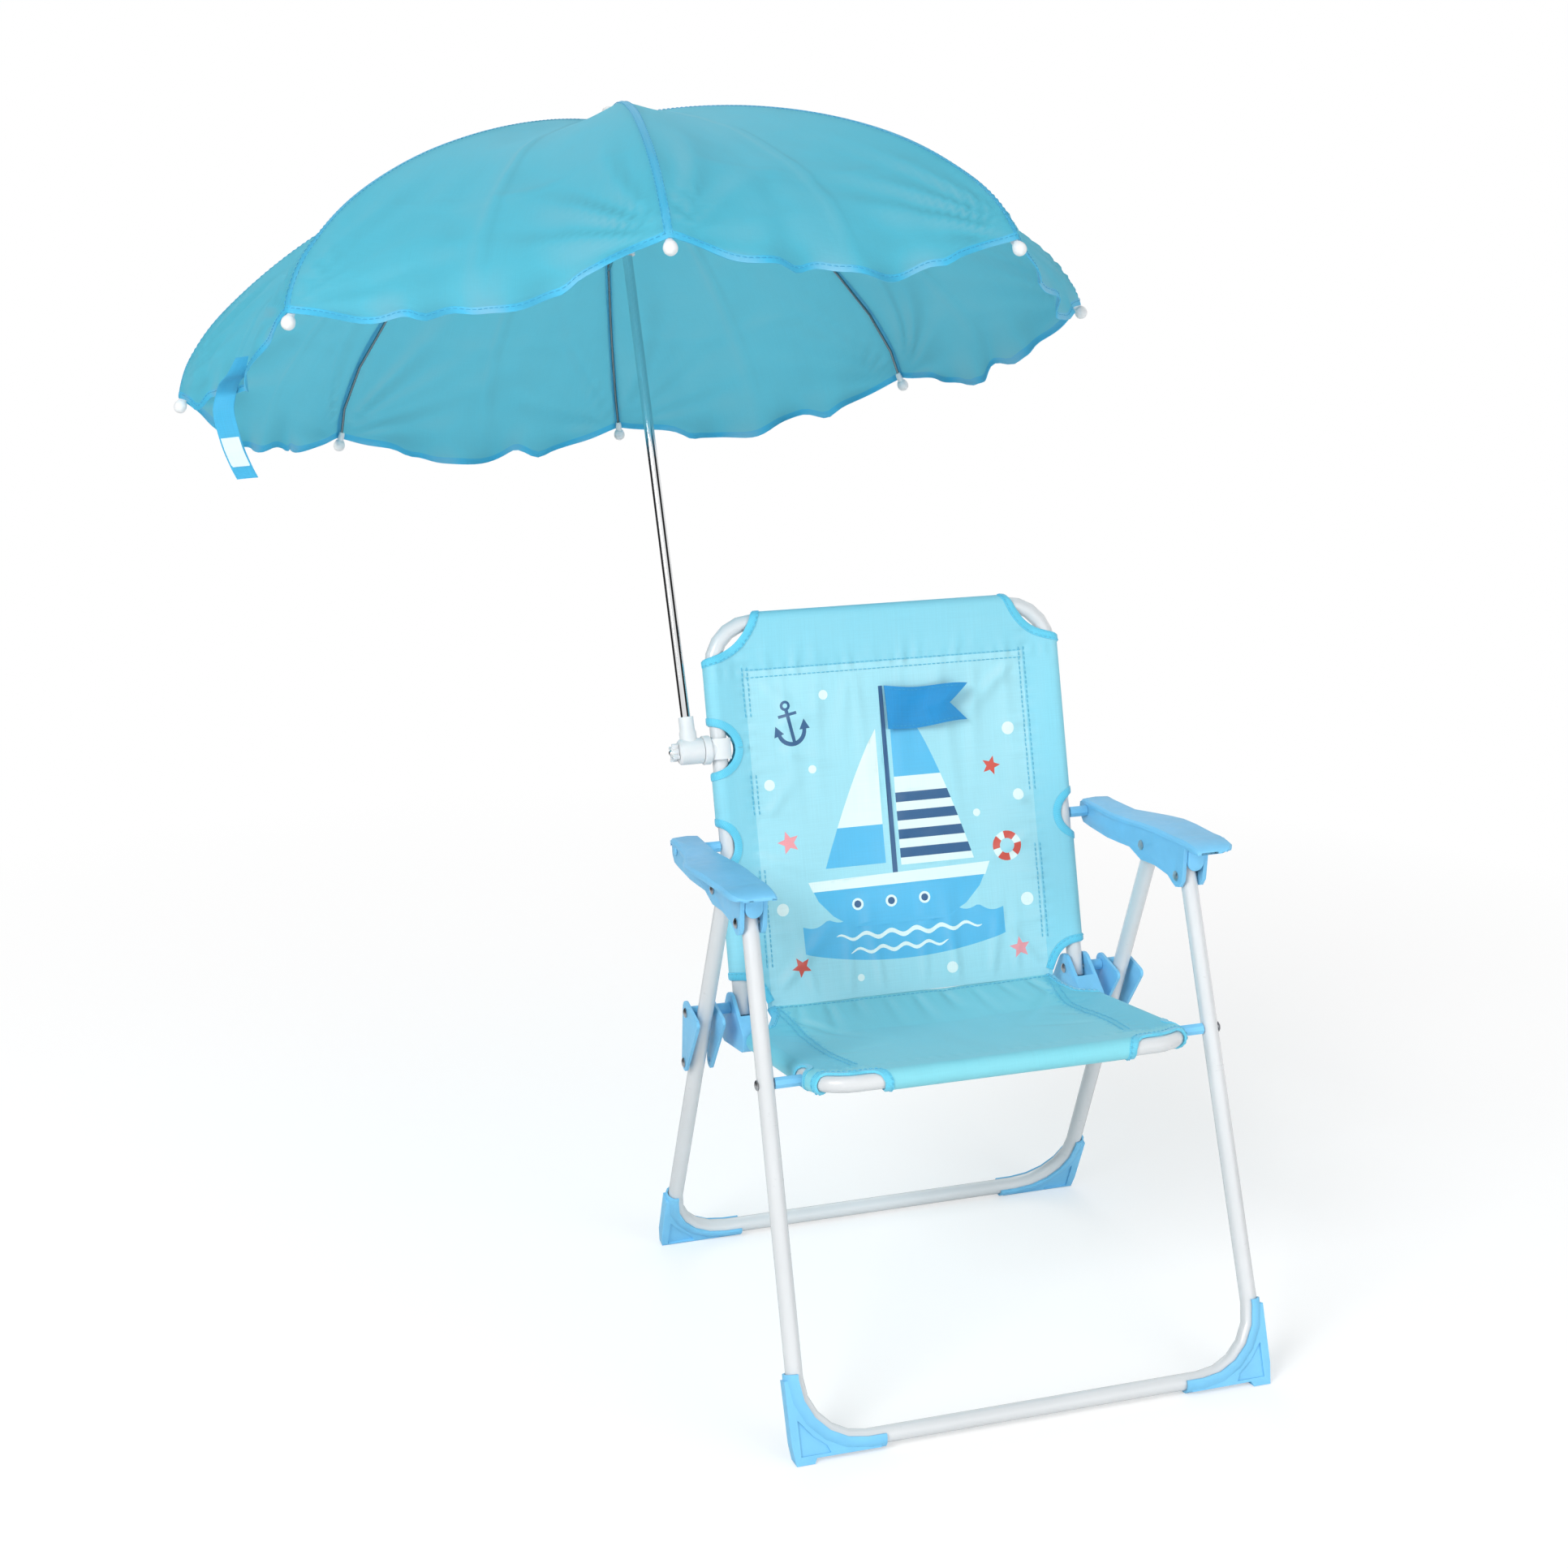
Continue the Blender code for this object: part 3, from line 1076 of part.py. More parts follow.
def umbrella():
    """Pole, ribs, stretchers, runner, hub, ferrule, canopy and strap."""
    base, axis, right, rear = umbrella_frame()
    top = RIM_HEIGHT + CROWN_HEIGHT + CANOPY_SKIN + 2 * CLEAR
    seat = SOCKET_FLOOR + CLEAR - SOCKET_HEIGHT
    bore = POLE_R - POLE_WALL
    profile = [(seat, bore), (seat, POLE_R), (top, POLE_R), (top, bore)]
    make("pole", turned(profile, base, axis, 12, looped=True), UMBRELLA, CHROME)

    hub_top = RIM_HEIGHT + CROWN_HEIGHT - 2 * RIB_R - CLEAR
    fit = POLE_R + CLEAR
    profile = [(hub_top - HUB_LENGTH, fit), (hub_top - HUB_LENGTH, HUB_R * 0.7),
               (hub_top - HUB_LENGTH * 0.6, HUB_R * 0.7), (hub_top - HUB_LENGTH * 0.4, HUB_R),
               (hub_top, HUB_R), (hub_top, fit)]
    make("rib_hub", turned(profile, base, axis, 16, looped=True), UMBRELLA, WHITE_PLASTIC)

    run_top = RIM_HEIGHT + CROWN_HEIGHT - RUNNER_DROP
    profile = [(run_top - RUNNER_LENGTH, fit), (run_top - RUNNER_LENGTH, RUNNER_R * 0.72),
               (run_top - RUNNER_LENGTH * 0.4, RUNNER_R * 0.72), (run_top - RUNNER_LENGTH * 0.3, RUNNER_R),
               (run_top, RUNNER_R), (run_top, fit)]
    make("runner", turned(profile, base, axis, 16, looped=True), UMBRELLA, WHITE_PLASTIC)

    foot = top + CLEAR - CANOPY_SKIN
    profile = [(foot + CANOPY_SKIN, 0.0), (foot + CANOPY_SKIN, FERRULE_R), (foot + FERRULE_HEIGHT * 0.55, FERRULE_R),
               (foot + FERRULE_HEIGHT * 0.85, FERRULE_R * 0.7), (foot + FERRULE_HEIGHT, 0.0)]
    make("ferrule", turned(profile, base, axis, 14), UMBRELLA, WHITE_PLASTIC)

    for k in range(GORES):
        angle = FIRST_RIB + FULL_TURN * k / GORES
        path = [under_canopy(i / RADIAL_STEPS, RIB_DROP, angle) for i in range(1, RADIAL_STEPS + 1)]
        path.insert(0, rim_point(HUB_R + CLEAR + RIB_R, rib_height(HUB_R) - 2 * RIB_R, angle))
        path.append(rim_point(RIM_RADIUS, -TIP_BALL_R, angle))
        rib = make(f"rib_{k + 1}", sweep(path, RIB_R, sides=RIB_SIDES), UMBRELLA, CHROME)
        tip_axis = (path[-1] - path[-2]).normalized()
        ball = [(-TIP_BALL_R, 0.0), (-TIP_BALL_R * 0.6, TIP_BALL_R * 0.8), (0.0, TIP_BALL_R),
                (TIP_BALL_R * 0.6, TIP_BALL_R * 0.8), (TIP_BALL_R, 0.0)]
        tip = cutter(f"tip_ball_{k + 1}", turned(ball, path[-1] + tip_axis * (TIP_BALL_R * 0.6), tip_axis, 6), UMBRELLA)
        combine(rib, tip, "UNION")
        low = rim_point(RUNNER_R + CLEAR + STRETCHER_R, CROWN_HEIGHT - RUNNER_DROP - STRETCHER_R, angle)
        high = under_canopy(STRETCHER_RING / RADIAL_STEPS, RIB_DROP + RIB_R + STRETCHER_R + CLEAR, angle)
        make(f"stretcher_{k + 1}", sweep([low, high], STRETCHER_R, sides=RIB_SIDES), UMBRELLA, CHROME)
    canopy()
    strap()


def canopy_point(share, turn, skin):
    """A point of the canopy: share from crown to hem, and turn counted in gores from the first rib."""
    gore = turn % 1.0
    bulge = math.sin(math.pi * gore)
    wave = math.sin(FULL_TURN * HEM_WAVES * gore) * HEM_WAVE * bulge
    radius = ring_radius(share)
    flat = 1 - (1 - math.cos(math.pi / GORES)) * bulge * GORE_FLAT
    lower = GORE_DIP * bulge * math.sin(math.pi * share) + (HEM_DROOP * bulge + wave) * share ** HEM_CURVE
    angle = FIRST_RIB + FULL_TURN * turn / GORES
    lean = rib_lean(radius)
    return rim_point(radius * flat + skin * math.sin(lean), rib_height(radius) - lower + skin * math.cos(lean), angle)


def canopy():
    """Eight gores of cloth as one closed skin, open round the pole."""
    around = GORES * GORE_STEPS
    rings = []
    for skin, shares in ((CANOPY_SKIN, range(RADIAL_STEPS + 1)), (0.0, range(RADIAL_STEPS, -1, -1))):
        for i in shares:
            rings.append([canopy_point(i / RADIAL_STEPS, k / GORE_STEPS, skin) for k in range(around)])
    make("canopy", skin_rings(rings, looped=True), UMBRELLA, CANOPY_CLOTH)


def strap():
    """The closing strap that hangs from the hem at the left."""
    turn = STRAP_GORE + 0.5
    hem = canopy_point(1.0, turn, 0.0)
    base, axis, right, rear = umbrella_frame()
    angle = FIRST_RIB + FULL_TURN * turn / GORES
    outward = right * math.cos(angle) + rear * math.sin(angle)
    across = axis.cross(outward)
    start = hem - axis * (2 * CLEAR)
    path = []
    steps = 5
    for k in range(steps + 1):
        share = k / steps
        path.append(start - axis * (STRAP_LENGTH * share) + outward * (STRAP_SKIN * 2 * math.sin(math.pi * share)))
    rings = []
    for point in path:
        half = across * (STRAP_WIDTH / 2)
        thick = outward * (STRAP_SKIN / 2)
        rings.append([point - half - thick, point + half - thick, point + half + thick, point - half + thick])
    make("closing_strap", skin_rings(rings), UMBRELLA, STRAP_CLOTH)


def stand_on_origin():
    """Move the whole object so that its box stands centred on the origin."""
    bpy.context.view_layer.update()
    graph = bpy.context.evaluated_depsgraph_get()
    low, high = Vector((math.inf,) * 3), Vector((-math.inf,) * 3)
    for item in bpy.data.objects:
        if item.type != "MESH" or item.hide_render:
            continue
        shown = item.evaluated_get(graph)
        for vertex in shown.to_mesh().vertices:
            point = shown.matrix_world @ vertex.co
            low = Vector(map(min, low, point))
            high = Vector(map(max, high, point))
        shown.to_mesh_clear()
    shift = Vector(((low.x + high.x) / 2, (low.y + high.y) / 2, low.z))
    for item in bpy.data.objects:
        if item.parent is None:
            item.location -= shift
    bpy.context.view_layer.update()
    print("moved by", [round(-value, 6) for value in shift], "box", [round(v, 4) for v in high - low])


frames()
armrests()
plugs()
brackets()
links()
seat_pins()
feet()
slings()
clamp()
umbrella()
stand_on_origin()
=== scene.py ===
import json
import math
import bmesh
import bpy
from mathutils import Matrix, Vector, geometry, noise


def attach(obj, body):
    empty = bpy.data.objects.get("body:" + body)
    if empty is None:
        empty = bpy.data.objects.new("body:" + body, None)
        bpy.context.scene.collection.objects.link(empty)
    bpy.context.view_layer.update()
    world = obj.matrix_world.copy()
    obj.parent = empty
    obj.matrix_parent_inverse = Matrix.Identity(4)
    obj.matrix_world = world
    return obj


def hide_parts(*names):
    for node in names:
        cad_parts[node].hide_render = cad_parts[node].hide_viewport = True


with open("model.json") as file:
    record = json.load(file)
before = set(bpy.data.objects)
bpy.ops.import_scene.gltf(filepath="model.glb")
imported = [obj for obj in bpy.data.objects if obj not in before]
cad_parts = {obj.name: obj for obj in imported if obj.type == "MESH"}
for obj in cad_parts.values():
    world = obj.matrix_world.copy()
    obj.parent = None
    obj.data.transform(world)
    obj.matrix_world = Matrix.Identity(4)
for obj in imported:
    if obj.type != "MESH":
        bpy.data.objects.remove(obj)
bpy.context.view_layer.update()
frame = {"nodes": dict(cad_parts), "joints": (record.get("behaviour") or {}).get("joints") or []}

# Sizes of the chair's frame, in metres; pairs are places in the side view
HINGE = Vector((0.0868, 0.2505))
RECLINE = math.radians(15.55)
BACK_UP = Vector((math.sin(RECLINE), math.cos(RECLINE)))
BACK_FRONT = Vector((-BACK_UP[1], BACK_UP[0]))
FRONT_LEAN = math.radians(20.89)
ARM_FRONT = Vector((-0.0474, 0.3693))
SEAT_PIVOT = ARM_FRONT - Vector((math.sin(FRONT_LEAN), math.cos(FRONT_LEAN))) * 0.1205
SEAT_REAR = Vector((HINGE[0], HINGE[1] - 0.0224))
SEAT_FORE = (SEAT_PIVOT - SEAT_REAR).normalized()
SEAT_LENGTH = (SEAT_PIVOT - SEAT_REAR).length
TUBE_R = 0.0065
BACK_X = 0.147
BACK_LENGTH = 0.3097
ARM_REAR_RISE = 0.1305
CLAMP_RISE = 0.209
SEAT_NOSE = 0.031
SEAT_BEND_R = 0.027
LEG_TOP_X = 0.1799

# Sizes of the slings
CLOTH = 0.0012
THIN = 0.0005
SLEEVE_REACH = 0.025
TOP_SLEEVE_REACH = 0.040
SLEEVE_GAP = 0.0006
SLEEVE_STEPS = 12
BACK_RISE = 0.002
SEAT_RISE = 0.005
FOOT_GAP = 0.022
SEAM_DROP = 0.004
SEAM_GAP = 0.003
SEAM_INSET = 0.0215
SEAM_BLEND = 0.060
TAPE_STITCH_INSET = 0.0048
GRID = 0.0036
LINE_STEP = 0.003

FULL_TURN = 2 * math.pi
QUARTER = math.pi / 2
JOINTS = {joint["name"]: joint for joint in frame["joints"]}
SHIFT = Vector(JOINTS["seat_fold"]["pos_m"]) - Vector((0.0, *HINGE))


def side_point(x, yz):
    """A point from its place across the chair and its place in the side view."""
    return Vector((x, yz[0], yz[1])) + SHIFT


def clamped(value, low=0.0, high=1.0):
    return min(max(value, low), high)


def bell(value, width):
    return math.exp(-(value / width) ** 2)


def linked(name, data):
    """A new object in the scene."""
    thing = bpy.data.objects.new(name, data)
    bpy.context.collection.objects.link(thing)
    return thing


# Materials
class Nodes:
    """Short calls for the nodes of one tree."""

    def __init__(self, tree):
        self.tree = tree

    def feed(self, node, inputs):
        """Link a node's inputs to sockets, or set them to values."""
        for key, value in inputs.items():
            socket = node.inputs[key]
            if isinstance(value, bpy.types.NodeSocket):
                self.tree.links.new(value, socket)
            elif socket.type == "RGBA":
                socket.default_value = (*value, 1.0)
            else:
                socket.default_value = value
        return node

    def add(self, kind, inputs=(), **settings):
        node = self.tree.nodes.new("ShaderNode" + kind)
        for key, value in settings.items():
            setattr(node, key, value)
        return self.feed(node, dict(inputs))

    def math(self, operation, *values):
        return self.add("Math", enumerate(values), operation=operation).outputs[0]

    def stripes(self, coordinate, pitch):
        return self.math("SINE", self.math("MULTIPLY", coordinate, math.pi / pitch))

    def split(self, vector):
        return self.add("SeparateXYZ", {0: vector}).outputs

    def place(self):
        return self.add("TexCoord").outputs["Object"]

    def flat(self):
        """The flat pattern's own coordinates, in metres."""
        return self.add("UVMap", uv_map="flat").outputs[0]

    def mix(self, share, one, two):
        return self.add("Mix", {0: share, 6: one, 7: two}, data_type="RGBA").outputs[2]

    def noise(self, place, scale, detail=3.0, rough=0.55, stretch=None):
        if stretch is not None:
            place = self.add("Mapping", {"Vector": place, "Scale": stretch}).outputs[0]
        inputs = {"Vector": place, "Scale": scale, "Detail": detail, "Roughness": rough}
        return self.add("TexNoise", inputs).outputs["Fac"]

    def ramp(self, value, low, high, start=0.0, end=1.0):
        inputs = enumerate((value, low, high, start, end))
        return self.add("MapRange", inputs, clamp=True).outputs[0]

    def bump(self, height, strength, distance, under=None):
        inputs = {"Height": height, "Strength": strength, "Distance": distance}
        if under is not None:
            inputs["Normal"] = under
        return self.add("Bump", inputs).outputs[0]

    def mix_shader(self, share, one, two):
        return self.add("MixShader", enumerate((share, one, two))).outputs[0]

    def show(self, shader, output="Material Output"):
        self.feed(self.tree.nodes[output], {"Surface": shader})


def new_material(name, colour, rough, metal=0.0):
    mat = bpy.data.materials.new(name)
    mat.use_nodes = True
    mat.diffuse_color = (*colour, 1.0)
    nodes = Nodes(mat.node_tree)
    shader = mat.node_tree.nodes["Principled BSDF"]
    nodes.feed(shader, {"Base Color": colour, "Roughness": rough, "Metallic": metal})
    return mat, nodes, shader


def scaled(colour, amount):
    return tuple(clamped(c * amount) for c in colour)


def paled(colour, keep, lift):
    return tuple(min(c * keep + lift, 1.0) for c in colour)


def painted_tube():
    """Powder coat with faint clouds, specks and dull scuffs along the tubes."""
    colour = (0.650, 0.672, 0.688)
    mat, nodes, shader = new_material("white_powder_coat", colour, 0.32)
    place = nodes.place()
    cloud = nodes.noise(place, 9.0, 4.0)
    speck = nodes.noise(place, 900.0, 2.0)
    scuff = nodes.noise(place, 55.0, 6.0, 0.7, (1.0, 1.0, 3.0))
    base = nodes.mix(nodes.ramp(cloud, 0.35, 0.65), scaled(colour, 0.97), scaled(colour, 1.03))
    nodes.feed(shader, {
        "Base Color": nodes.mix(nodes.ramp(scuff, 0.66, 0.74, 0.0, 0.5), base, scaled(colour, 0.86)),
        "Roughness": nodes.ramp(scuff, 0.3, 0.75, 0.26, 0.44),
        "Coat Weight": 0.55,
        "Coat Roughness": 0.09,
        "Normal": nodes.bump(speck, 0.12, 0.0003),
    })
    return mat


def moulded(name, colour, rough, grain=0.16):
    """Moulded plastic with flow lines, scuffs and a fine grain."""
    mat, nodes, shader = new_material(name, colour, rough)
    place = nodes.place()
    cloud = nodes.noise(place, 26.0, 3.0)
    speck = nodes.noise(place, 1500.0, 2.0, 0.6)
    flow = nodes.noise(place, 60.0, 4.0, 0.6, (1.0, 0.25, 1.0))
    scuff = nodes.noise(place, 120.0, 6.0, 0.75)
    base = nodes.mix(nodes.ramp(cloud, 0.3, 0.7), scaled(colour, 0.95), scaled(colour, 1.05))
    base = nodes.mix(nodes.ramp(flow, 0.55, 0.75, 0.0, 0.35), base, scaled(colour, 1.14))
    nodes.feed(shader, {
        "Base Color": nodes.mix(nodes.ramp(scuff, 0.68, 0.76, 0.0, 0.4), base, paled(colour, 0.6, 0.35)),
        "Roughness": nodes.ramp(scuff, 0.3, 0.75, rough - 0.05, rough + 0.12),
        "Specular IOR Level": 0.20,
        "Subsurface Weight": 0.06,
        "Subsurface Radius": (0.4, 0.6, 1.0),
        "Subsurface Scale": 0.002,
        "Normal": nodes.bump(speck, grain, 0.0002),
    })
    return mat


def zinc():
    """Zinc plating with stains and fine scratches."""
    colour = (0.56, 0.57, 0.59)
    mat, nodes, shader = new_material("zinc_plated_steel", colour, 0.34, 1.0)
    place = nodes.place()
    scratch = nodes.noise(place, 420.0, 5.0, 0.7, (1.0, 1.0, 0.2))
    stain = nodes.noise(place, 160.0, 4.0)
    nodes.feed(shader, {
        "Base Color": nodes.mix(nodes.ramp(stain, 0.35, 0.7), scaled(colour, 0.8), scaled(colour, 1.12)),
        "Roughness": nodes.ramp(scratch, 0.3, 0.7, 0.24, 0.5),
        "Normal": nodes.bump(scratch, 0.15, 0.0002),
    })
    return mat


def plated(name, colour, shine):
    """Bright plating, a little misty in places; shine is its lowest roughness."""
    mat, nodes, shader = new_material(name, colour, 0.13, 1.0)
    place = nodes.place()
    streak = nodes.noise(place, 60.0, 3.0, 0.5)
    mist = nodes.noise(place, 24.0, 3.0)
    nodes.feed(shader, {
        "Base Color": nodes.mix(nodes.ramp(mist, 0.35, 0.7), scaled(colour, 0.92), scaled(colour, 1.05)),
        "Roughness": nodes.ramp(streak, 0.35, 0.7, shine, shine + 0.06),
    })
    return mat


def woven(name, colour, pitch, rough, depth, sheen=0.25, glow=0.0, slub=0.10, fade=0.05, gloss=0.25):
    """Plain-woven cloth; glow is the share of light that comes through it."""
    mat, nodes, shader = new_material(name, colour, rough)
    flat = nodes.flat()
    u, v, _ = nodes.split(flat)
    over = nodes.math("MULTIPLY", nodes.stripes(u, pitch), nodes.stripes(v, pitch))
    rows = nodes.math("ABSOLUTE", nodes.stripes(u, pitch / 2))
    lines = nodes.math("ABSOLUTE", nodes.stripes(v, pitch / 2))
    height = nodes.math("MULTIPLY_ADD", over, 0.5, nodes.math("ADD", rows, lines))
    along_warp = nodes.noise(flat, 1.0, 3.0, 0.6, (1.0 / pitch * 0.8, 22.0, 1.0))
    along_weft = nodes.noise(flat, 1.0, 3.0, 0.6, (22.0, 1.0 / pitch * 0.8, 1.0))
    threads = nodes.math("MULTIPLY", nodes.math("ADD", along_warp, along_weft), 0.5)
    cloud = nodes.noise(flat, 17.0, 4.0, 0.6)
    base = nodes.mix(nodes.ramp(threads, 0.35, 0.65), scaled(colour, 1 - slub), scaled(colour, 1 + slub))
    base = nodes.mix(nodes.ramp(cloud, 0.35, 0.7, 0.0, fade * 6), base, paled(colour, 0.86, 0.10))
    # Painted highlight and painted shade: each point's fold slope towards one fixed light direction lightens
    # the cloth where a fold faces that light and darkens it where a fold faces away.
    painted_fold_shading = nodes.add("Attribute", attribute_name="painted_fold_shading").outputs["Fac"]
    base = nodes.mix(nodes.ramp(painted_fold_shading, 0.0, 0.6, 0.0, 0.9), base, paled(colour, 0.62, 0.30))
    base = nodes.mix(nodes.ramp(painted_fold_shading, -0.6, 0.0, 0.9, 0.0), base, scaled(colour, 0.62))
    crumple = nodes.bump(nodes.noise(flat, 75.0, 3.0, 0.5), 0.22, 0.0012)
    normal = nodes.bump(height, depth * 0.3, pitch * 0.25, crumple)
    nodes.feed(shader, {
        "Base Color": base,
        "Roughness": nodes.ramp(threads, 0.3, 0.7, rough - 0.08, min(rough + 0.08, 1.0)),
        "Sheen Weight": sheen,
        "Sheen Roughness": 0.45,
        "Sheen Tint": paled(colour, 0.5, 0.5),
        "Specular IOR Level": gloss,
        "Normal": normal,
    })
    if glow > 0:
        clear = nodes.mix(0.75, base, paled(colour, 0.55, 0.42))
        through = nodes.add("BsdfTranslucent", {"Color": clear, "Normal": normal})
        nodes.show(nodes.mix_shader(glow, shader.outputs[0], through.outputs[0]))
    return mat


def sling_cloth(name, colour, rough=0.66, slub=0.045, gloss=0.4):
    return woven(name, colour, 0.00062, rough, 0.45, 0.2, 0.0, slub, 0.04, gloss)


def taffeta(name, colour, glow, sheen=0.10, gloss=0.4):
    return woven(name, colour, 0.00045, 0.56, 0.35, sheen, glow, 0.05, 0.03, gloss)


def tape(name, colour, rib=0.0009):
    """Grosgrain tape: fine ribs across its length."""
    mat, nodes, shader = new_material(name, colour, 0.62)
    flat = nodes.flat()
    ribs = nodes.math("ABSOLUTE", nodes.stripes(nodes.split(flat)[0], rib))
    cloud = nodes.noise(flat, 60.0, 4.0)
    # Painted shade: the tape is darker in the grooves between the ribs and lighter on their crests.
    base = nodes.mix(nodes.ramp(ribs, 0.0, 0.9), scaled(colour, 0.78), scaled(colour, 1.06))
    nodes.feed(shader, {
        "Base Color": nodes.mix(nodes.ramp(cloud, 0.4, 0.7, 0.0, 0.4), base, paled(colour, 0.85, 0.1)),
        "Roughness": nodes.ramp(cloud, 0.3, 0.7, 0.55, 0.72),
        "Sheen Weight": 0.3,
        "Normal": nodes.bump(ribs, 0.4, 0.0002),
    })
    return mat


TUBE = painted_tube()
BLUE = moulded("light_blue_plastic", (0.200, 0.545, 0.820), 0.38)
WHITE = moulded("white_plastic", (0.74, 0.76, 0.77), 0.36, 0.1)
ZINC = zinc()
CHROME = plated("bright_plated_steel", (0.76, 0.77, 0.78), 0.06)
# Partly the ribs' own grey steel and partly painted shade: the colour is darkened and tinted blue for the
# shade under the blue canopy.
RIB_STEEL_AND_SHADE = plated("umbrella_rib_steel_and_painted_shade", (0.235, 0.275, 0.300), 0.22)
CENTRE = sling_cloth("sling_centre", (0.345, 0.690, 0.780))
BAND = sling_cloth("sling_band", (0.240, 0.620, 0.745), 0.62, 0.04, 0.45)
SEAT_BAND = sling_cloth("sling_seat_band", (0.140, 0.565, 0.705), 0.60, 0.04, 0.5)
SEAT_BLUE = sling_cloth("sling_seat_blue", (0.205, 0.625, 0.725), 0.60, 0.04, 0.5)
PRINT = {
    "navy": sling_cloth("print_navy", (0.032, 0.110, 0.245)),
    "white": sling_cloth("print_white", (0.740, 0.880, 0.860)),
    "coral": sling_cloth("print_coral", (0.640, 0.085, 0.060)),
    "pink": sling_cloth("print_pink", (0.850, 0.330, 0.360)),
    "blue": sling_cloth("print_blue", (0.095, 0.470, 0.750)),
}
FLAG = woven("pennant_cloth", (0.020, 0.275, 0.600), 0.00050, 0.62, 0.4, 0.2, 0.08)
TAPE = tape("binding_tape", (0.110, 0.580, 0.790))
CANOPY = taffeta("canopy_taffeta", (0.136, 0.650, 0.780), 0.60, 0.05, 0.35)
SEAM_CLOTH = taffeta("canopy_seam", (0.075, 0.545, 0.790), 0.40)
HEM_CLOTH = taffeta("canopy_hem", (0.070, 0.590, 0.850), 0.36)
STRAP = woven("strap_band", (0.060, 0.480, 0.760), 0.00050, 0.60, 0.5, 0.2, 0.25)
PATCH = woven("strap_patch_cloth", (0.640, 0.790, 0.870), 0.00045, 0.7, 0.4)
THREAD_BLUE = woven("thread_blue", (0.060, 0.390, 0.620), 0.0003, 0.6, 0.5)
THREAD_PALE = woven("thread_sky", (0.120, 0.500, 0.690), 0.0003, 0.6, 0.5)


# The carried nodes' finish
def smooth_group():
    """A node group that shades smooth, but keeps edges above an angle sharp."""
    group = bpy.data.node_groups.new("smooth_by_angle", "GeometryNodeTree")
    for name, way, kind in (("Geometry", "INPUT", "Geometry"), ("Angle", "INPUT", "Float"),
                            ("Geometry", "OUTPUT", "Geometry")):
        group.interface.new_socket(name, in_out=way, socket_type="NodeSocket" + kind)
    start = group.nodes.new("NodeGroupInput")
    end = group.nodes.new("NodeGroupOutput")
    edge = group.nodes.new("GeometryNodeInputMeshEdgeAngle")
    compare = group.nodes.new("FunctionNodeCompare")
    compare.data_type = "FLOAT"
    compare.operation = "GREATER_THAN"
    geometry_out = start.outputs["Geometry"]
    for domain, smooth in (("FACE", True), ("EDGE", False)):
        shade = group.nodes.new("GeometryNodeSetShadeSmooth")
        shade.domain = domain
        shade.inputs["Shade Smooth"].default_value = smooth
        group.links.new(geometry_out, shade.inputs["Geometry"])
        geometry_out = shade.outputs["Geometry"]
    group.links.new(edge.outputs["Unsigned Angle"], compare.inputs[0])
    group.links.new(start.outputs["Angle"], compare.inputs[1])
    group.links.new(compare.outputs[0], shade.inputs["Selection"])
    group.links.new(geometry_out, end.inputs["Geometry"])
    return group


SMOOTH = smooth_group()
SMOOTH_ANGLE = SMOOTH.interface.items_tree["Angle"].identifier
WELD_REACH = 0.00001
FLAT_ANGLE = math.radians(0.5)


def dress(name, material, angle, bevel):
    """Give a carried node its material, welded points, smooth shading and a small edge radius."""
    node = frame["nodes"][name]
    node.data.materials.clear()
    node.data.materials.append(material)
    marks = node.data.attributes.get("custom_normal")
    if marks is not None:
        node.data.attributes.remove(marks)
    node.modifiers.new("weld", "WELD").merge_threshold = WELD_REACH
    if bevel > 0:
        flat = node.modifiers.new("flat", "DECIMATE")
        flat.decimate_type = "DISSOLVE"
        flat.angle_limit = FLAT_ANGLE
        edge = node.modifiers.new("edge", "BEVEL")
        edge.width = bevel
        edge.segments = 3
        edge.limit_method = "ANGLE"
        edge.angle_limit = math.radians(angle)
        edge.use_clamp_overlap = True
        edge.harden_normals = False
    smooth = node.modifiers.new("smooth", "NODES")
    smooth.node_group = SMOOTH
    smooth[SMOOTH_ANGLE] = math.radians(angle)


# How names start, their material, sharp angle in degrees and edge radius
FINISHES = (
    (("back_frame", "seat_frame", "front_leg_frame", "rear_leg_frame"), TUBE, 40.0, 0.0),
    (("rivet_",), ZINC, 50.0, 0.0),
    (("rib_hub", "runner", "ferrule"), WHITE, 50.0, 0.0),
    (("rib_", "stretcher_"), RIB_STEEL_AND_SHADE, 75.0, 0.0),
    (("pole", "clamp_bolt"), CHROME, 50.0, 0.0),
    (("armrest_",), BLUE, 32.0, 0.0011),
    (("foot_", "hinge_bracket_", "fold_link_"), BLUE, 32.0, 0.0006),
    (("leg_plug_", "spacer_"), BLUE, 40.0, 0.0),
    (("clamp_clip", "clamp_socket", "wing_nut"), WHITE, 32.0, 0.0004),
)
for name in frame["nodes"]:
    for starts, material, angle, bevel in FINISHES:
        if name.startswith(starts):
            dress(name, material, angle, bevel)
            break


# Building helpers
def finished(name, mesh, materials):
    """Turn a bmesh into an object with smooth faces."""
    data = bpy.data.meshes.new(name)
    mesh.to_mesh(data)
    mesh.free()
    for material in materials:
        data.materials.append(material)
    for face in data.polygons:
        face.use_smooth = True
    data.set_sharp_from_angle(angle=math.radians(50))
    return linked(name, data)


def flat_layer(mesh):
    """The layer that holds each corner's place on the flat pattern."""
    return mesh.loops.layers.uv.get("flat") or mesh.loops.layers.uv.new("flat")


def add_face(mesh, layer, corners, places, index=0):
    face = mesh.faces.new(corners)
    face.material_index = index
    for corner, place in zip(face.loops, places):
        corner[layer].uv = place


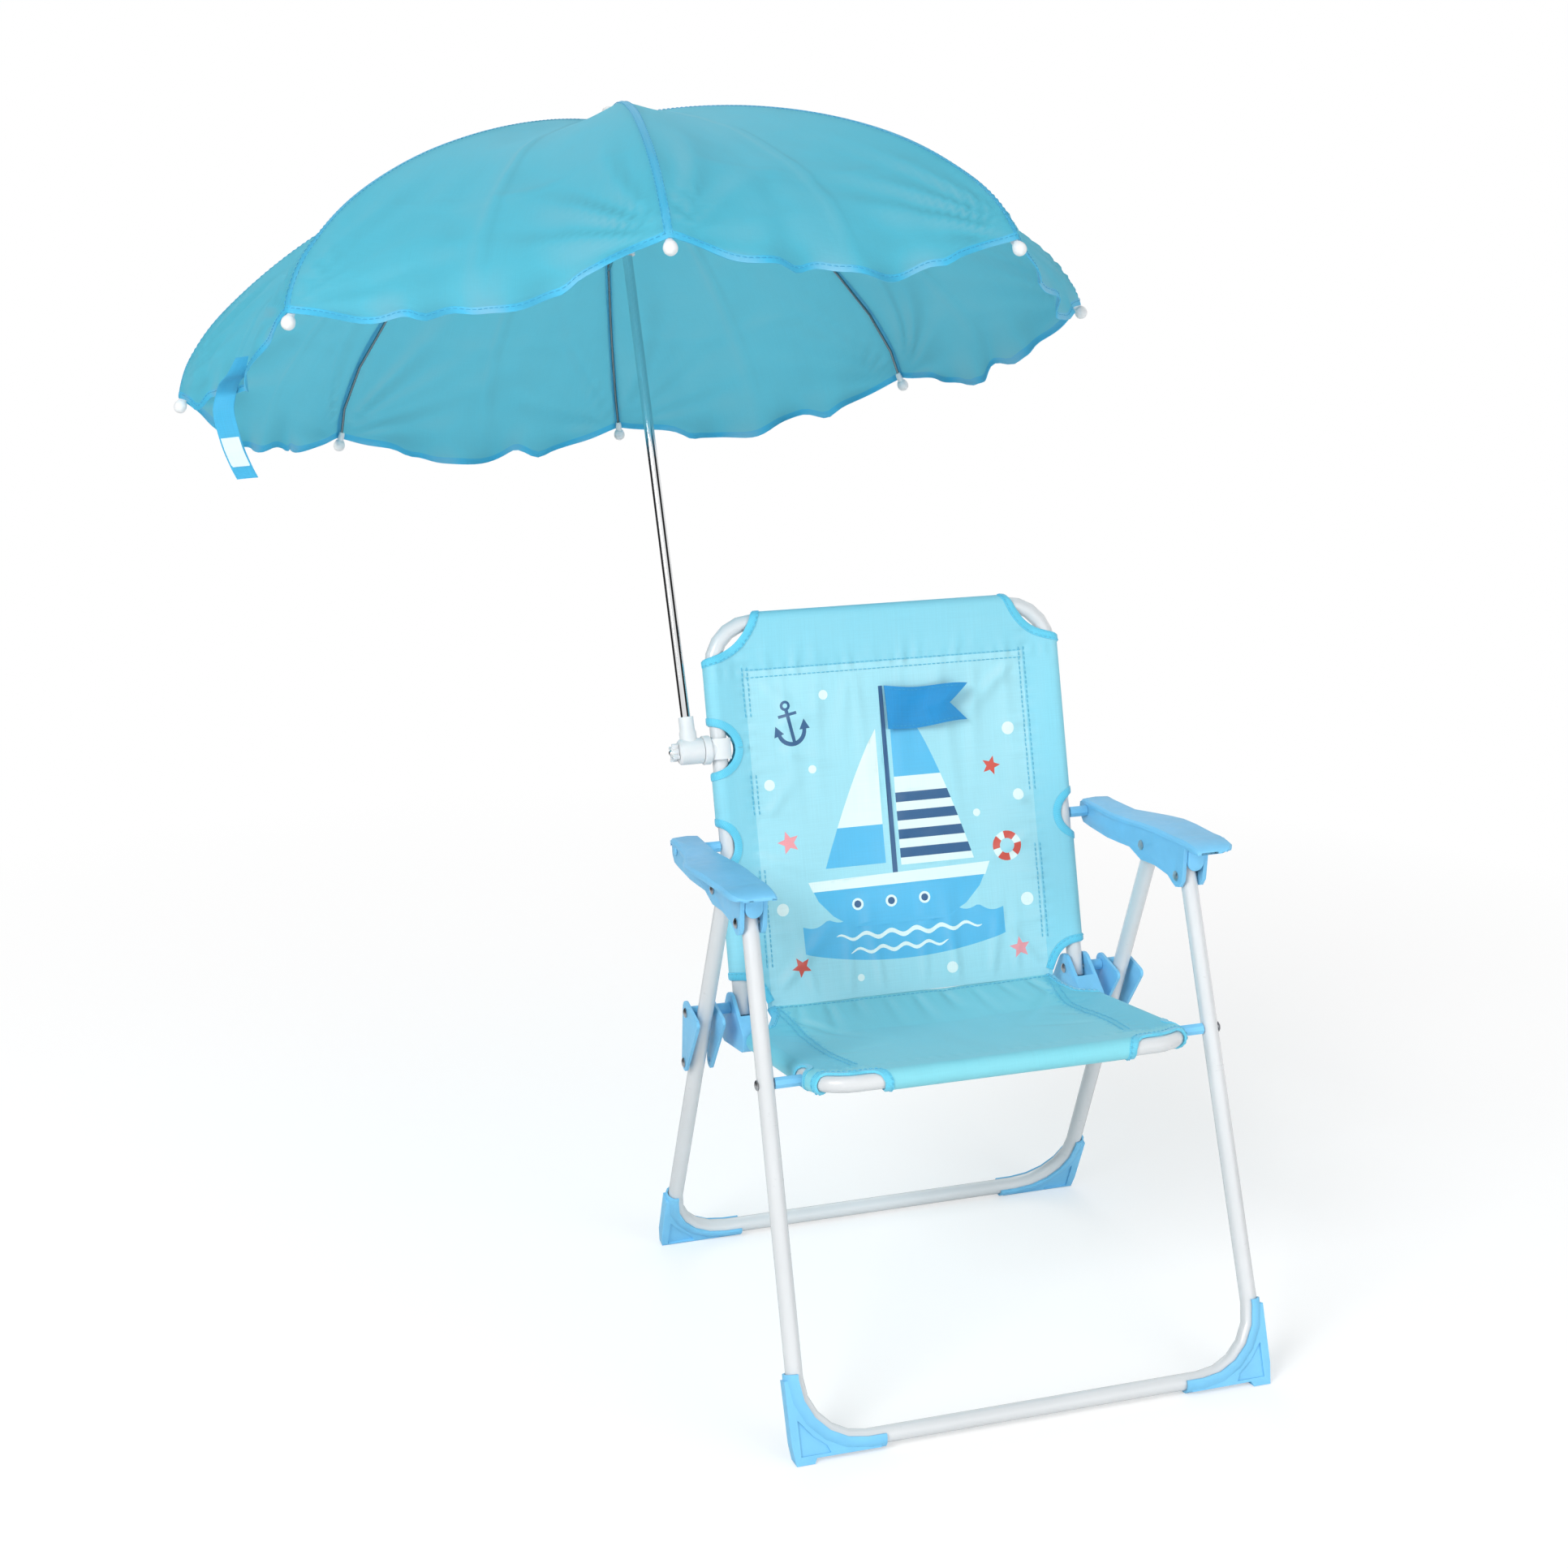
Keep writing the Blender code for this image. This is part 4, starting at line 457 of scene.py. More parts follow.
def ring_skin(mesh, rings, flat=None, turn=False):
    """Faces between closed rings of points, with both ends shut; turn flips them."""
    layer = flat_layer(mesh)
    rows = [[mesh.verts.new(p) for p in ring] for ring in rings]
    count = len(rows[0])
    for a in range(len(rows) - 1):
        for i in range(count):
            j = (i + 1) % count
            around = [(a, i), (a, j), (a + 1, j), (a + 1, i)]
            if turn:
                around.reverse()
            places = [flat[r][c] for r, c in around] if flat else ()
            add_face(mesh, layer, [rows[r][c] for r, c in around], places)
    mesh.faces.new(rows[0] if turn else rows[0][::-1])
    mesh.faces.new(rows[-1][::-1] if turn else rows[-1])


# One stitch: share of its length, height and width in thread radii
STITCH_PROFILE = ((0.0, -0.4, 0.55), (0.22, 0.55, 1.0), (0.5, 0.85, 1.1), (0.78, 0.55, 1.0),
                  (1.0, -0.4, 0.55))
STITCH_SIDES = 5
STITCH_AHEAD = 0.0003


class Row:
    """A row of points with normals that can be read at any distance along it."""

    def __init__(self, row):
        self.row = row
        self.spans = [0.0]
        for (a, _), (b, _) in zip(row, row[1:]):
            self.spans.append(self.spans[-1] + (b - a).length)
        self.total = self.spans[-1]

    def at(self, distance):
        distance = clamped(distance, 0.0, self.total)
        spans = self.spans
        k = 0
        while distance > spans[k + 1] and k < len(spans) - 2:
            k += 1
        share = (distance - spans[k]) / max(spans[k + 1] - spans[k], 1e-9)
        (a, normal_a), (b, normal_b) = self.row[k:k + 2]
        return a.lerp(b, share), normal_a.lerp(normal_b, share).normalized()


def stitches(name, rows, material, pitch=0.0040, length=0.0030, radius=0.00038):
    """Sewn stitches along rows of points, each point with its surface normal."""
    mesh = bmesh.new()
    for row in map(Row, rows):
        count = int(row.total / pitch)
        for k in range(count):
            start = (k + 0.5) * row.total / count - length / 2
            rings, marks = [], []
            for share, high, wide in STITCH_PROFILE:
                point, normal = row.at(start + length * share)
                way = row.at(start + length * share + STITCH_AHEAD)[0] - point
                if way.length < 1e-7:
                    way = row.at(row.total)[0] - row.at(row.total - 0.0005)[0]
                side = way.normalized().cross(normal)
                centre = point + normal * (radius * high)
                ring, mark = [], []
                for turn in range(STITCH_SIDES):
                    angle = FULL_TURN * turn / STITCH_SIDES
                    ring.append(centre + side * (radius * wide * math.cos(angle))
                                + normal * (radius * wide * math.sin(angle)))
                    mark.append((start + length * share, turn * radius))
                rings.append(ring)
                marks.append(mark)
            ring_skin(mesh, rings, marks)
    return finished(name, mesh, [material])


# Lines on the flat pattern
def sleeve_line(reach, rise):
    """The cloth's way round a tube: length used so far, and place across and above the tube's middle."""
    size = TUBE_R + SLEEVE_GAP + CLOTH / 2
    start = (-reach, rise)
    end = (0.002 - reach, rise - CLOTH - SLEEVE_GAP)
    headings = []
    for point, turn in ((start, 1), (end, -1)):
        distance = math.hypot(*point)
        headings.append(math.atan2(point[1], point[0]) - turn * math.acos(size / distance))
    first, last = headings
    if last > first:
        last -= FULL_TURN
    points = [start]
    for k in range(SLEEVE_STEPS + 1):
        angle = first + (last - first) * k / SLEEVE_STEPS
        points.append((size * math.cos(angle), size * math.sin(angle)))
    points.append(end)
    used = 0.0
    line = [(used, *points[0])]
    for before, after in zip(points, points[1:]):
        used += math.dist(before, after)
        line.append((used, *after))
    return line


def on_line(line, used):
    for before, after in zip(line, line[1:]):
        if used <= after[0]:
            break
    share = (used - before[0]) / (after[0] - before[0])
    return (before[1] + (after[1] - before[1]) * share, before[2] + (after[2] - before[2]) * share)


def outer_side(line):
    return max(line, key=lambda entry: entry[1])[0]


def inside(point, loop):
    hit = False
    for (x1, y1), (x2, y2) in zip(loop, loop[1:] + loop[:1]):
        if (y1 > point[1]) != (y2 > point[1]):
            if point[0] < x1 + (point[1] - y1) * (x2 - x1) / (y2 - y1):
                hit = not hit
    return hit


def oval(centre, width, height, steps):
    return [(centre[0] + width * math.cos(FULL_TURN * k / steps),
             centre[1] + height * math.sin(FULL_TURN * k / steps)) for k in range(steps)]


def bite(start, end, sag, steps=14):
    """A scooped cut between two points."""
    start, end = Vector(start), Vector(end)
    way = end - start
    inward = Vector((-way[1], way[0]))
    return [tuple(start + way * (k / steps) + inward * (sag * math.sin(math.pi * k / steps)))
            for k in range(steps + 1)]


def stepped(points, step=LINE_STEP):
    """A polyline cut to short steps."""
    out = [points[0]]
    for a, b in zip(points, points[1:]):
        count = max(1, math.ceil(math.dist(a, b) / step))
        for k in range(1, count + 1):
            out.append((a[0] + (b[0] - a[0]) * k / count, a[1] + (b[1] - a[1]) * k / count))
    return out


def mirrored(line):
    return [(-u, v) for u, v in line]


def heading_at(line, k):
    """Which way a polyline runs at one of its points."""
    a, b = line[max(k - 1, 0)], line[min(k + 1, len(line) - 1)]
    return Vector((b[0] - a[0], b[1] - a[1])).normalized()


def beside_line(line, distance, sign):
    line = stepped(line)
    out = []
    for k, p in enumerate(line):
        way = heading_at(line, k)
        out.append((p[0] - way[1] * sign * distance, p[1] + way[0] * sign * distance))
    return out


def crease_height(creases, u, v):
    """The height of creases, each given by its two ends, its width and its height."""
    total = 0.0
    for u0, v0, u1, v1, width, height in creases:
        du, dv = u1 - u0, v1 - v0
        size = math.hypot(du, dv)
        share = ((u - u0) * du + (v - v0) * dv) / (size * size)
        if not -0.02 <= share <= 1.02:
            continue
        away = ((u - u0) * dv - (v - v0) * du) / size
        wide = width * (0.6 + 0.9 * clamped(share))
        if abs(away) > 3 * wide:
            continue
        fade = min(1.0, max(0.0, share) * 6) * (1.0 - clamped(share) ** 1.5)
        total += height * fade * (bell(away, wide) - 0.35 * bell(away, 1.8 * wide))
    return total


class Panel:
    """One sling panel: it lifts a point of the flat pattern to its place on the chair."""

    SWELLS = ((13, 9, 3.1, 0.0016), (38, 24, 7.7, 0.00055))
    SIDE_CALM = 0.016
    END_CALM = 0.030
    PUCKER_REACH = 0.008
    PUCKER_PITCH = 0.0115
    PUCKER_HEIGHT = 0.00042
    PROBE = 0.0004

    def __init__(self, root, heading, front, across, ahead, rise, creases, sag, length, corner=None):
        self.root, self.heading, self.front, self.corner = root, heading, front, corner
        self.side_stitch, self.side_line = across
        self.end_stitch, self.end_line = ahead
        self.rise, self.creases, self.sag, self.length = rise, creases, sag, length
        self.seen = 1 if heading[0] * front[1] > heading[1] * front[0] else -1

    def round_corner(self, u, v):
        """A point over the tube's bend: its distance past the stitch line, and its place."""
        centre_u, centre_v, bend = self.corner
        du, dv = abs(u) - centre_u, v - centre_v
        far = math.hypot(du, dv)
        past = far - (bend - SLEEVE_REACH)
        place, height = (far, self.rise(v)) if past <= 0 else on_line(self.side_line, past)
        reach = far if past <= 0 else bend + place
        return past, centre_u + du / far * reach, centre_v + dv / far * reach, height

    def over_bend(self, u, v):
        return self.corner is not None and abs(u) > self.corner[0] and v > self.corner[1]

    def placed(self, u, x, up, height):
        yz = self.root + self.heading * up + self.front * height
        return side_point(math.copysign(x, u), yz)

    def base(self, u, v):
        if self.over_bend(u, v):
            return self.placed(u, *self.round_corner(u, v)[1:])
        beside = abs(u) - self.side_stitch
        beyond = v - self.end_stitch
        x, up, height = abs(u), v, self.rise(v)
        if beyond > 0:
            place, level = on_line(self.end_line, beyond)
            up, height = self.end_stitch - self.end_line[0][1] + place, level
        if beside > 0:
            place, level = on_line(self.side_line, beside)
            x = self.side_stitch - self.side_line[0][1] + place
            tangent = self.side_line[1][0]
            level += (self.rise(v) - self.side_line[0][2]) * (1 - min(beside / tangent, 1.0))
            height = level if beside >= tangent else max(height if beyond > 0 else level, level)
        elif beyond <= 0:
            inner = 1 - (abs(u) / self.side_stitch) ** 2
            height -= self.sag * inner * math.sin(math.pi * clamped(v / self.length))
        return self.placed(u, x, up, height)

    def normal(self, u, v):
        e = self.PROBE
        du = self.base(u + e, v) - self.base(u - e, v)
        dv = self.base(u, v + e) - self.base(u, v - e)
        n = du.cross(dv)
        return n.normalized() if n.length > 0 else Vector((0, -1, 0))

    def wrinkle(self, u, v):
        """Swells and creases that calm down in the sleeves, and puckers along the stitch lines."""
        beside = abs(u) - self.side_stitch
        beyond = v - self.end_stitch
        from_side, from_end = abs(beside), abs(beyond)
        if self.over_bend(u, v):
            beside = beyond = self.round_corner(u, v)[0]
        calm = 1.0
        if beside > 0:
            calm *= max(0.0, 1 - beside / self.SIDE_CALM)
        if beyond > 0:
            calm *= max(0.0, 1 - beyond / self.END_CALM)
        swell = sum(noise.noise(Vector((u * wide, v * high, seed))) * size
                    for wide, high, seed, size in self.SWELLS)
        pucker = 0.0
        for line, along in ((from_side, v), (from_end, u)):
            if line < self.PUCKER_REACH:
                wave = self.PUCKER_HEIGHT * math.sin(along * FULL_TURN / self.PUCKER_PITCH)
                pucker += wave * (1 - line / self.PUCKER_REACH)
        return calm * (swell + crease_height(self.creases, u, v)) + pucker

    def lift(self, u, v, off=0.0):
        n = self.normal(u, v)
        return self.base(u, v) + n * (self.wrinkle(u, v) + off), n


CELL = 0.002
CROWDED = 0.0019
MERGE = 0.00002
# The step across the pattern along which fold slopes are taken for the painted fold shading; it stands for
# the direction the light comes from.
SLOPE_PROBE = (0.0025, -0.0018)
SLOPE_SPAN = 0.0062


def box_of(loop):
    """The least and the most of a loop's places, across and up."""
    across, up = zip(*loop)
    return min(across), max(across), min(up), max(up)


def grid_points(outline, taken):
    """A staggered grid inside the outline that keeps off the points already taken."""
    cells = {}
    for p in taken:
        cells.setdefault((int(p[0] // CELL), int(p[1] // CELL)), []).append(p)

    def crowded(p):
        i, j = int(p[0] // CELL), int(p[1] // CELL)
        return any(math.dist(p, q) < CROWDED for a in (i - 1, i, i + 1) for b in (j - 1, j, j + 1)
                   for q in cells.get((a, b), ()))

    low_u, high_u, low_v, high_v = box_of(outline)
    out = []
    for i in range(int((high_u - low_u) / GRID) + 1):
        for j in range(int((high_v - low_v) / GRID) + 1):
            p = (low_u + GRID * (i + 0.5 * (j % 2)), low_v + GRID * j)
            if inside(p, outline) and not crowded(p):
                out.append(p)
    return out


def cut_pattern(outline, holes, folds, motifs, pick):
    """The flat pattern's points, and its triangles with their material."""
    points, edges = [], []

    def add_line(line, closed):
        first = len(points)
        points.extend(line)
        count = len(line)
        for i in range(count if closed else count - 1):
            edges.append((first + i, first + (i + 1) % count))

    outline = stepped(outline + outline[:1], GRID)[:-1]
    loops = [loop for loop, _ in motifs]
    for line in [outline, *holes]:
        add_line(line, True)
    for fold in folds:
        add_line(stepped(list(fold), GRID * 1.5), False)
    for loop in loops:
        add_line(loop, True)
    points += grid_points(outline, points)
    found = geometry.delaunay_2d_cdt([Vector(p) for p in points], edges, [], 0, MERGE)
    places = [tuple(p) for p in found[0]]
    boxes = [box_of(loop) for loop in loops]
    kept, area = [], 0.0
    for face in found[2]:
        a, b, c = (places[i] for i in face)
        middle = ((a[0] + b[0] + c[0]) / 3, (a[1] + b[1] + c[1]) / 3)
        if not inside(middle, outline) or any(inside(middle, hole) for hole in holes):
            continue
        index = pick(middle)
        for (loop, mark), (x0, x1, y0, y1) in zip(motifs, boxes):
            if x0 <= middle[0] <= x1 and y0 <= middle[1] <= y1 and inside(middle, loop):
                index = mark
        kept.append((tuple(face), index))
        area += abs((b[0] - a[0]) * (c[1] - a[1]) - (b[1] - a[1]) * (c[0] - a[0])) / 2
    return places, kept, area


def cut_panel(name, panel, outline, holes, folds, motifs, pick, materials):
    """The cloth itself, split along its folds, its print and a fine grid."""
    places, kept, area = cut_pattern(outline, holes, folds, motifs, pick)
    used = sorted({i for face, _ in kept for i in face})
    row = {old: new for new, old in enumerate(used)}
    mesh = bmesh.new()
    layer = flat_layer(mesh)
    over, under, slopes = [], [], []
    du, dv = SLOPE_PROBE
    for i in used:
        u, v = places[i]
        # Painted shading: the fold's slope along SLOPE_PROBE, the light's direction on the pattern; the skin
        # seen from the other side gets it with the sign turned.
        slope = (panel.wrinkle(u + du, v + dv) - panel.wrinkle(u - du, v - dv)) / SLOPE_SPAN
        slopes += [slope, -slope]
        point, normal = panel.lift(u, v)
        over.append(mesh.verts.new(point + normal * THIN))
        under.append(mesh.verts.new(point - normal * THIN))

    def paint(skins, marks, index):
        corners = [skin[row[i]] for skin, i in zip(skins, marks)]
        add_face(mesh, layer, corners, [places[i] for i in marks], index)

    sides = {}
    for (a, b, c), index in kept:
        paint((over, over, over), (a, b, c), index)
        paint((under, under, under), (c, b, a), pick(places[a]))
        for i, j in ((a, b), (b, c), (c, a)):
            sides[(i, j)] = index
    for (i, j), index in sides.items():
        if (j, i) not in sides:
            paint((over, over, under, under), (j, i, i, j), index)
    cloth = finished(name, mesh, materials)
    cloth.data.attributes.new("painted_fold_shading", "FLOAT", "POINT").data.foreach_set("value", slopes)
    return cloth, area


def binding(mesh, panel, line, sign, width=0.0062, thick=0.0013, outline=None):
    """Tape folded over a cut edge; sign says on which side of the line the cloth lies."""
    runs = [[]]
    for p in stepped(line):
        if outline is None or inside(p, outline):
            runs[-1].append(p)
        else:
            runs.append([])
    section = ((width, THIN * 1.2), (width * 0.96, thick), (width * 0.5, thick * 1.12), (width * 0.1, thick),
               (-0.0006, 0.0), (width * 0.1, -thick), (width * 0.96, -thick), (width, -THIN * 1.2))
    for run in runs:
        if len(run) < 3:
            continue
        rings, marks = [], []
        travel = 0.0
        for k, p in enumerate(run):
            way = heading_at(run, k)
            inward = Vector((-way[1], way[0])) * sign
            if k:
                travel += math.dist(p, run[k - 1])
            rings.append([panel.lift(p[0] + inward[0] * deep, p[1] + inward[1] * deep, high)[0]
                          for deep, high in section])
            marks.append([(travel, deep) for deep, high in section])
        ring_skin(mesh, rings, marks, turn=sign < 0)


def row_on(panel, line, off=0.0009):
    """A row of points for stitches, on the side of the cloth that is seen."""
    out = []
    for u, v in stepped(line):
        point, normal = panel.lift(u, v, off * panel.seen)
        out.append((point, normal * panel.seen))
    return out


def sew_up(body, panel, bound, rings, rows, outline, ring_width=0.0062):
    """Tape on the bound edges of both sides and round the holes, with their stitches after the given rows."""
    mesh = bmesh.new()
    edges = [(line if side > 0 else mirrored(line), side) for side in (1, -1) for line in bound]
    for line, side in edges:
        binding(mesh, panel, line, side)
    for ring, side in rings:
        binding(mesh, panel, ring + ring[:1], side, ring_width, outline=outline)
    tapes = finished(body + "_bindings", mesh, [TAPE])
    rows = rows + [row_on(panel, beside_line(line, TAPE_STITCH_INSET, side), 0.0014) for line, side in edges]
    sewn = stitches(body + "_stitches", rows, THREAD_PALE)
    for piece in (tapes, sewn):
        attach(piece, body)
    return [tapes, sewn]


# The generic print: a sailing boat on a swell, an anchor, a life ring, stars and dots
def shape(points, at, size=1.0, turn=0.0):
    c, s = math.cos(turn), math.sin(turn)
    return [(at[0] + size * (x * c - y * s), at[1] + size * (x * s + y * c)) for x, y in points]


def star(radius, inner=0.45, points=5):
    out = []
    for k in range(points * 2):
        size = radius if k % 2 == 0 else radius * inner
        angle = QUARTER + math.pi * k / points
        out.append((size * math.cos(angle), size * math.sin(angle)))
    return out


def wave_band(length, swing, pitch, thick):
    upper, lower = [], []
    count = max(8, int(length / 0.0022))
    for k in range(count + 1):
        share = k / count
        x = (share - 0.5) * length
        y = swing * math.sin(FULL_TURN * x / pitch)
        half = thick / 2 * math.sin(math.pi * share) ** 0.4 + 0.00012
        upper.append((x, y + half))
        lower.append((x, y - half))
    return lower + upper[::-1]


def sea(half, low, high, pitch, steps=60):
    """A filled stretch of sea with a scalloped top and a bowed foot."""
    across = [-half + 2 * half * k / steps for k in range(steps + 1)]
    foot = [(x, low - 0.012 * math.cos(QUARTER * x / half) ** 0.8 if abs(x) < half else low) for x in across]
    top = [(x, high - 0.0042 * abs(math.sin(math.pi * x / pitch)) - 0.006 * (x / half) ** 4) for x in across]
    return foot + top[::-1]


def boat(at, size, mark):
    """Main sail with stripes, jib, mast and hull with portholes."""
    mast, jib_edge, jib_foot = 0.004, -0.005, -0.041

    def leech(y):
        return mast + 0.044 * (1 - (y - 0.006) / 0.096) ** 0.62

    def luff(y):
        return jib_edge - 0.036 * (1 - (y - 0.008) / 0.076) ** 0.85

    def sail(low, rise, steps):
        heights = [low + rise * k / steps for k in range(steps + 1)]
        return [(mast, low)] + [(leech(y), y) for y in heights] + [(mast, low + rise)]

    loops = [(sail(0.006, 0.096, 18)[:-1], "blue"), (sail(0.006, 0.050, 10), "white")]
    loops += [(sail(low, 0.0055, 3), "navy") for low in (0.010, 0.0205, 0.031, 0.0415)]
    jib = [(jib_edge, 0.008), (jib_edge, 0.084)]
    jib += [(luff(0.084 - 0.076 * k / 9), 0.084 - 0.076 * k / 9) for k in range(1, 10)] + [(jib_foot, 0.008)]
    low_jib = [(jib_edge, 0.008), (jib_edge, 0.030), (luff(0.030), 0.030), (luff(0.019), 0.019),
               (jib_foot, 0.008)]
    hull = [(-0.052, 0.001), (-0.047, -0.010), (-0.039, -0.019), (-0.028, -0.026), (0.028, -0.026),
            (0.041, -0.019), (0.050, -0.010), (0.057, 0.003)]
    loops += [
        (jib[::-1], "white"),
        (low_jib[::-1], "blue"),
        ([(-0.0015, -0.004), (0.0015, -0.004), (0.0012, 0.108), (-0.0012, 0.108)], "navy"),
        (hull, "blue"),
        ([(-0.0522, 0.0012), (-0.0498, -0.0045), (0.0540, -0.0040), (0.0572, 0.0032)], "white"),
    ]
    for x in (-0.024, -0.004, 0.016):
        loops.append((oval((x, -0.0135), 0.0034, 0.0034, 16), "white"))
        loops.append((oval((x, -0.0135), 0.0021, 0.0021, 12), "navy"))
    return [(shape(loop, at, size), mark[colour]) for loop, colour in loops]


def anchor(at, size, turn, mark):
    """Ring, stock, shank and curved arms, all as filled loops."""
    loops = [(oval((0.0, 0.017), 0.0040, 0.0040, 18), "navy"),
             (oval((0.0, 0.017), 0.0019, 0.0019, 12), "centre"),
             ([(-0.0014, -0.013), (0.0014, -0.013), (0.0014, 0.0135), (-0.0014, 0.0135)], "navy"),
             ([(-0.0075, 0.0085), (0.0075, 0.0085), (0.0075, 0.0108), (-0.0075, 0.0108)], "navy")]
    outer, inner = [], []
    for k in range(17):
        angle = math.pi + math.pi * k / 16
        outer.append((0.0122 * math.cos(angle), -0.0030 + 0.0122 * math.sin(angle)))
        inner.append((0.0092 * math.cos(angle), -0.0022 + 0.0096 * math.sin(angle)))
    loops.append((outer + inner[::-1], "navy"))
    barb = [(0.0150, -0.0050), (0.0118, 0.0035), (0.0066, -0.0040)]
    loops += [(mirrored(barb), "navy"), (barb[::-1], "navy")]
    return [(shape(loop, at, size, turn), mark[colour]) for loop, colour in loops]


def life_ring(at, radius, turn, mark):
    """A red ring with four white quarters."""
    loops = [(oval((0.0, 0.0), radius, radius, 28), "coral")]
    for k in range(4):
        angle = FULL_TURN * k / 4 + turn
        arc = [angle - 0.30 + 0.15 * j for j in range(5)]
        outer = [(radius * math.cos(t), radius * math.sin(t)) for t in arc]
        inner = [(radius * 0.5 * math.cos(t), radius * 0.5 * math.sin(t)) for t in arc[::-1]]
        loops.append((outer + inner, "white"))
    loops.append((oval((0.0, 0.0), radius * 0.5, radius * 0.5, 20), "centre"))
    return [(shape(loop, at), mark[colour]) for loop, colour in loops]


def print_motifs(mark):
    """The whole print; what comes later lies on top."""
    motifs = boat((-0.006, 0.092), 1.46, mark)
    motifs += [(shape(sea(0.088, 0.036, 0.064, 0.022), (-0.002, 0.0)), mark["blue"]),
               (shape(wave_band(0.128, 0.0022, 0.022, 0.0036), (0.002, 0.046)), mark["white"]),
               (shape(wave_band(0.086, 0.0020, 0.020, 0.0030), (-0.008, 0.034)), mark["white"])]
    motifs += anchor((-0.086, 0.222), 1.05, 0.20, mark) + life_ring((0.094, 0.108), 0.0125, 0.5, mark)
    for radius, u, v, turn, colour in (
            (0.0098, -0.096, 0.128, 0.25, "pink"), (0.0085, 0.086, 0.176, -0.3, "coral"),
            (0.0088, -0.094, 0.026, 0.5, "coral"), (0.0095, 0.098, 0.022, 0.1, "pink")):
        motifs.append((shape(star(radius), (u, v), 1.0, turn), mark[colour]))
    for u, v, radius in ((0.104, 0.206, 0.0054), (0.108, 0.150, 0.0048), (-0.108, 0.176, 0.0046),
                         (-0.056, 0.246, 0.0040), (0.108, 0.062, 0.0056), (-0.106, 0.074, 0.0052),
                         (0.036, 0.012, 0.0048), (-0.044, 0.012, 0.0030), (-0.070, 0.186, 0.0034),
                         (0.070, 0.138, 0.0032)):
        motifs.append((oval((u, v), radius, radius, 18), mark["white"]))
    return motifs


# The two slings
def sleeve(reach, rise, tube):
    """A sleeve's line, and how far out its stitches, its outer side and its end lie on the pattern."""
    line = sleeve_line(reach, rise)
    stitch = tube - reach
    return line, stitch, stitch + outer_side(line), stitch + line[-1][0]


def back_creases(stitch, top_stitch):
    creases = []
    for u, lean, size in ((-0.092, 0.012, 0.9), (-0.060, -0.010, 0.8), (-0.028, 0.008, 1.0),
                          (0.012, -0.006, 0.7), (0.046, 0.010, 1.0), (0.078, -0.012, 0.9),
                          (0.104, 0.004, 0.7)):
        creases.append((u, top_stitch + 0.004, u + lean, 0.110, 0.0060, 0.0011 * size))
        creases.append((u * 0.9, -0.002, u * 0.98 - lean, 0.085, 0.0048, 0.0017 * size))
    creases += [(0.116, 0.008, 0.050, 0.074, 0.006, 0.0024), (-0.116, 0.008, -0.052, 0.070, 0.006, 0.0024),
                (0.118, 0.118, 0.070, 0.095, 0.005, 0.0017), (-0.118, 0.118, -0.072, 0.098, 0.005, 0.0017),
                (0.120, 0.142, 0.076, 0.168, 0.005, 0.0014), (-0.098, 0.205, -0.046, 0.186, 0.005, 0.0018),
                (-0.100, 0.222, -0.056, 0.236, 0.005, 0.0014), (0.112, 0.262, 0.058, 0.214, 0.006, 0.0020),
                (-0.110, 0.262, -0.060, 0.216, 0.006, 0.0020), (-0.112, 0.150, -0.082, 0.186, 0.005, 0.0013),
                (0.040, 0.262, 0.052, 0.196, 0.007, 0.0012), (-0.034, 0.262, -0.044, 0.200, 0.007, 0.0012)]
    for k in range(10):
        u = -0.104 + 0.0231 * k + 0.004 * math.sin(k * 2.9)
        creases.append((u, top_stitch - 0.006, u + 0.006 * math.sin(k * 1.9), top_stitch + 0.032, 0.0042,
                        0.0013 + 0.0005 * math.sin(k * 1.3)))
    for k in range(7):
        v = 0.045 + 0.034 * k
        creases.append((stitch + 0.004, v, stitch - 0.034, v + 0.012 * math.sin(k * 2.1), 0.0042, 0.0010))
        creases.append((-stitch - 0.004, v + 0.010, -stitch + 0.034, v + 0.010 * math.cos(k * 1.7),
                        0.0042, 0.0010))
    return creases


def back_rows(panel, stitch, top_stitch):
    """Double stitch rows up both sides, with gaps at the arm pins and the clamp, and under the top sleeve."""
    arm_gap, clamp_gap = 0.022, 0.023
    low = (FOOT_GAP + 0.006, ARM_REAR_RISE - arm_gap)
    high = (ARM_REAR_RISE + arm_gap, top_stitch + 0.004)
    cut_high = ((high[0], CLAMP_RISE - clamp_gap), (CLAMP_RISE + clamp_gap, high[1]))
    rows = []
    for side, spans in ((-1, (low, *cut_high)), (1, (low, high))):
        for start, end in spans:
            for past in (0.0016, -0.0032):
                rows.append(row_on(panel, [(side * (stitch + past), start), (side * (stitch + past), end)]))
    for level in (top_stitch + 0.0012, top_stitch - 0.0052):
        rows.append(row_on(panel, [(-stitch + 0.001, level), (stitch - 0.001, level)]))
    return rows


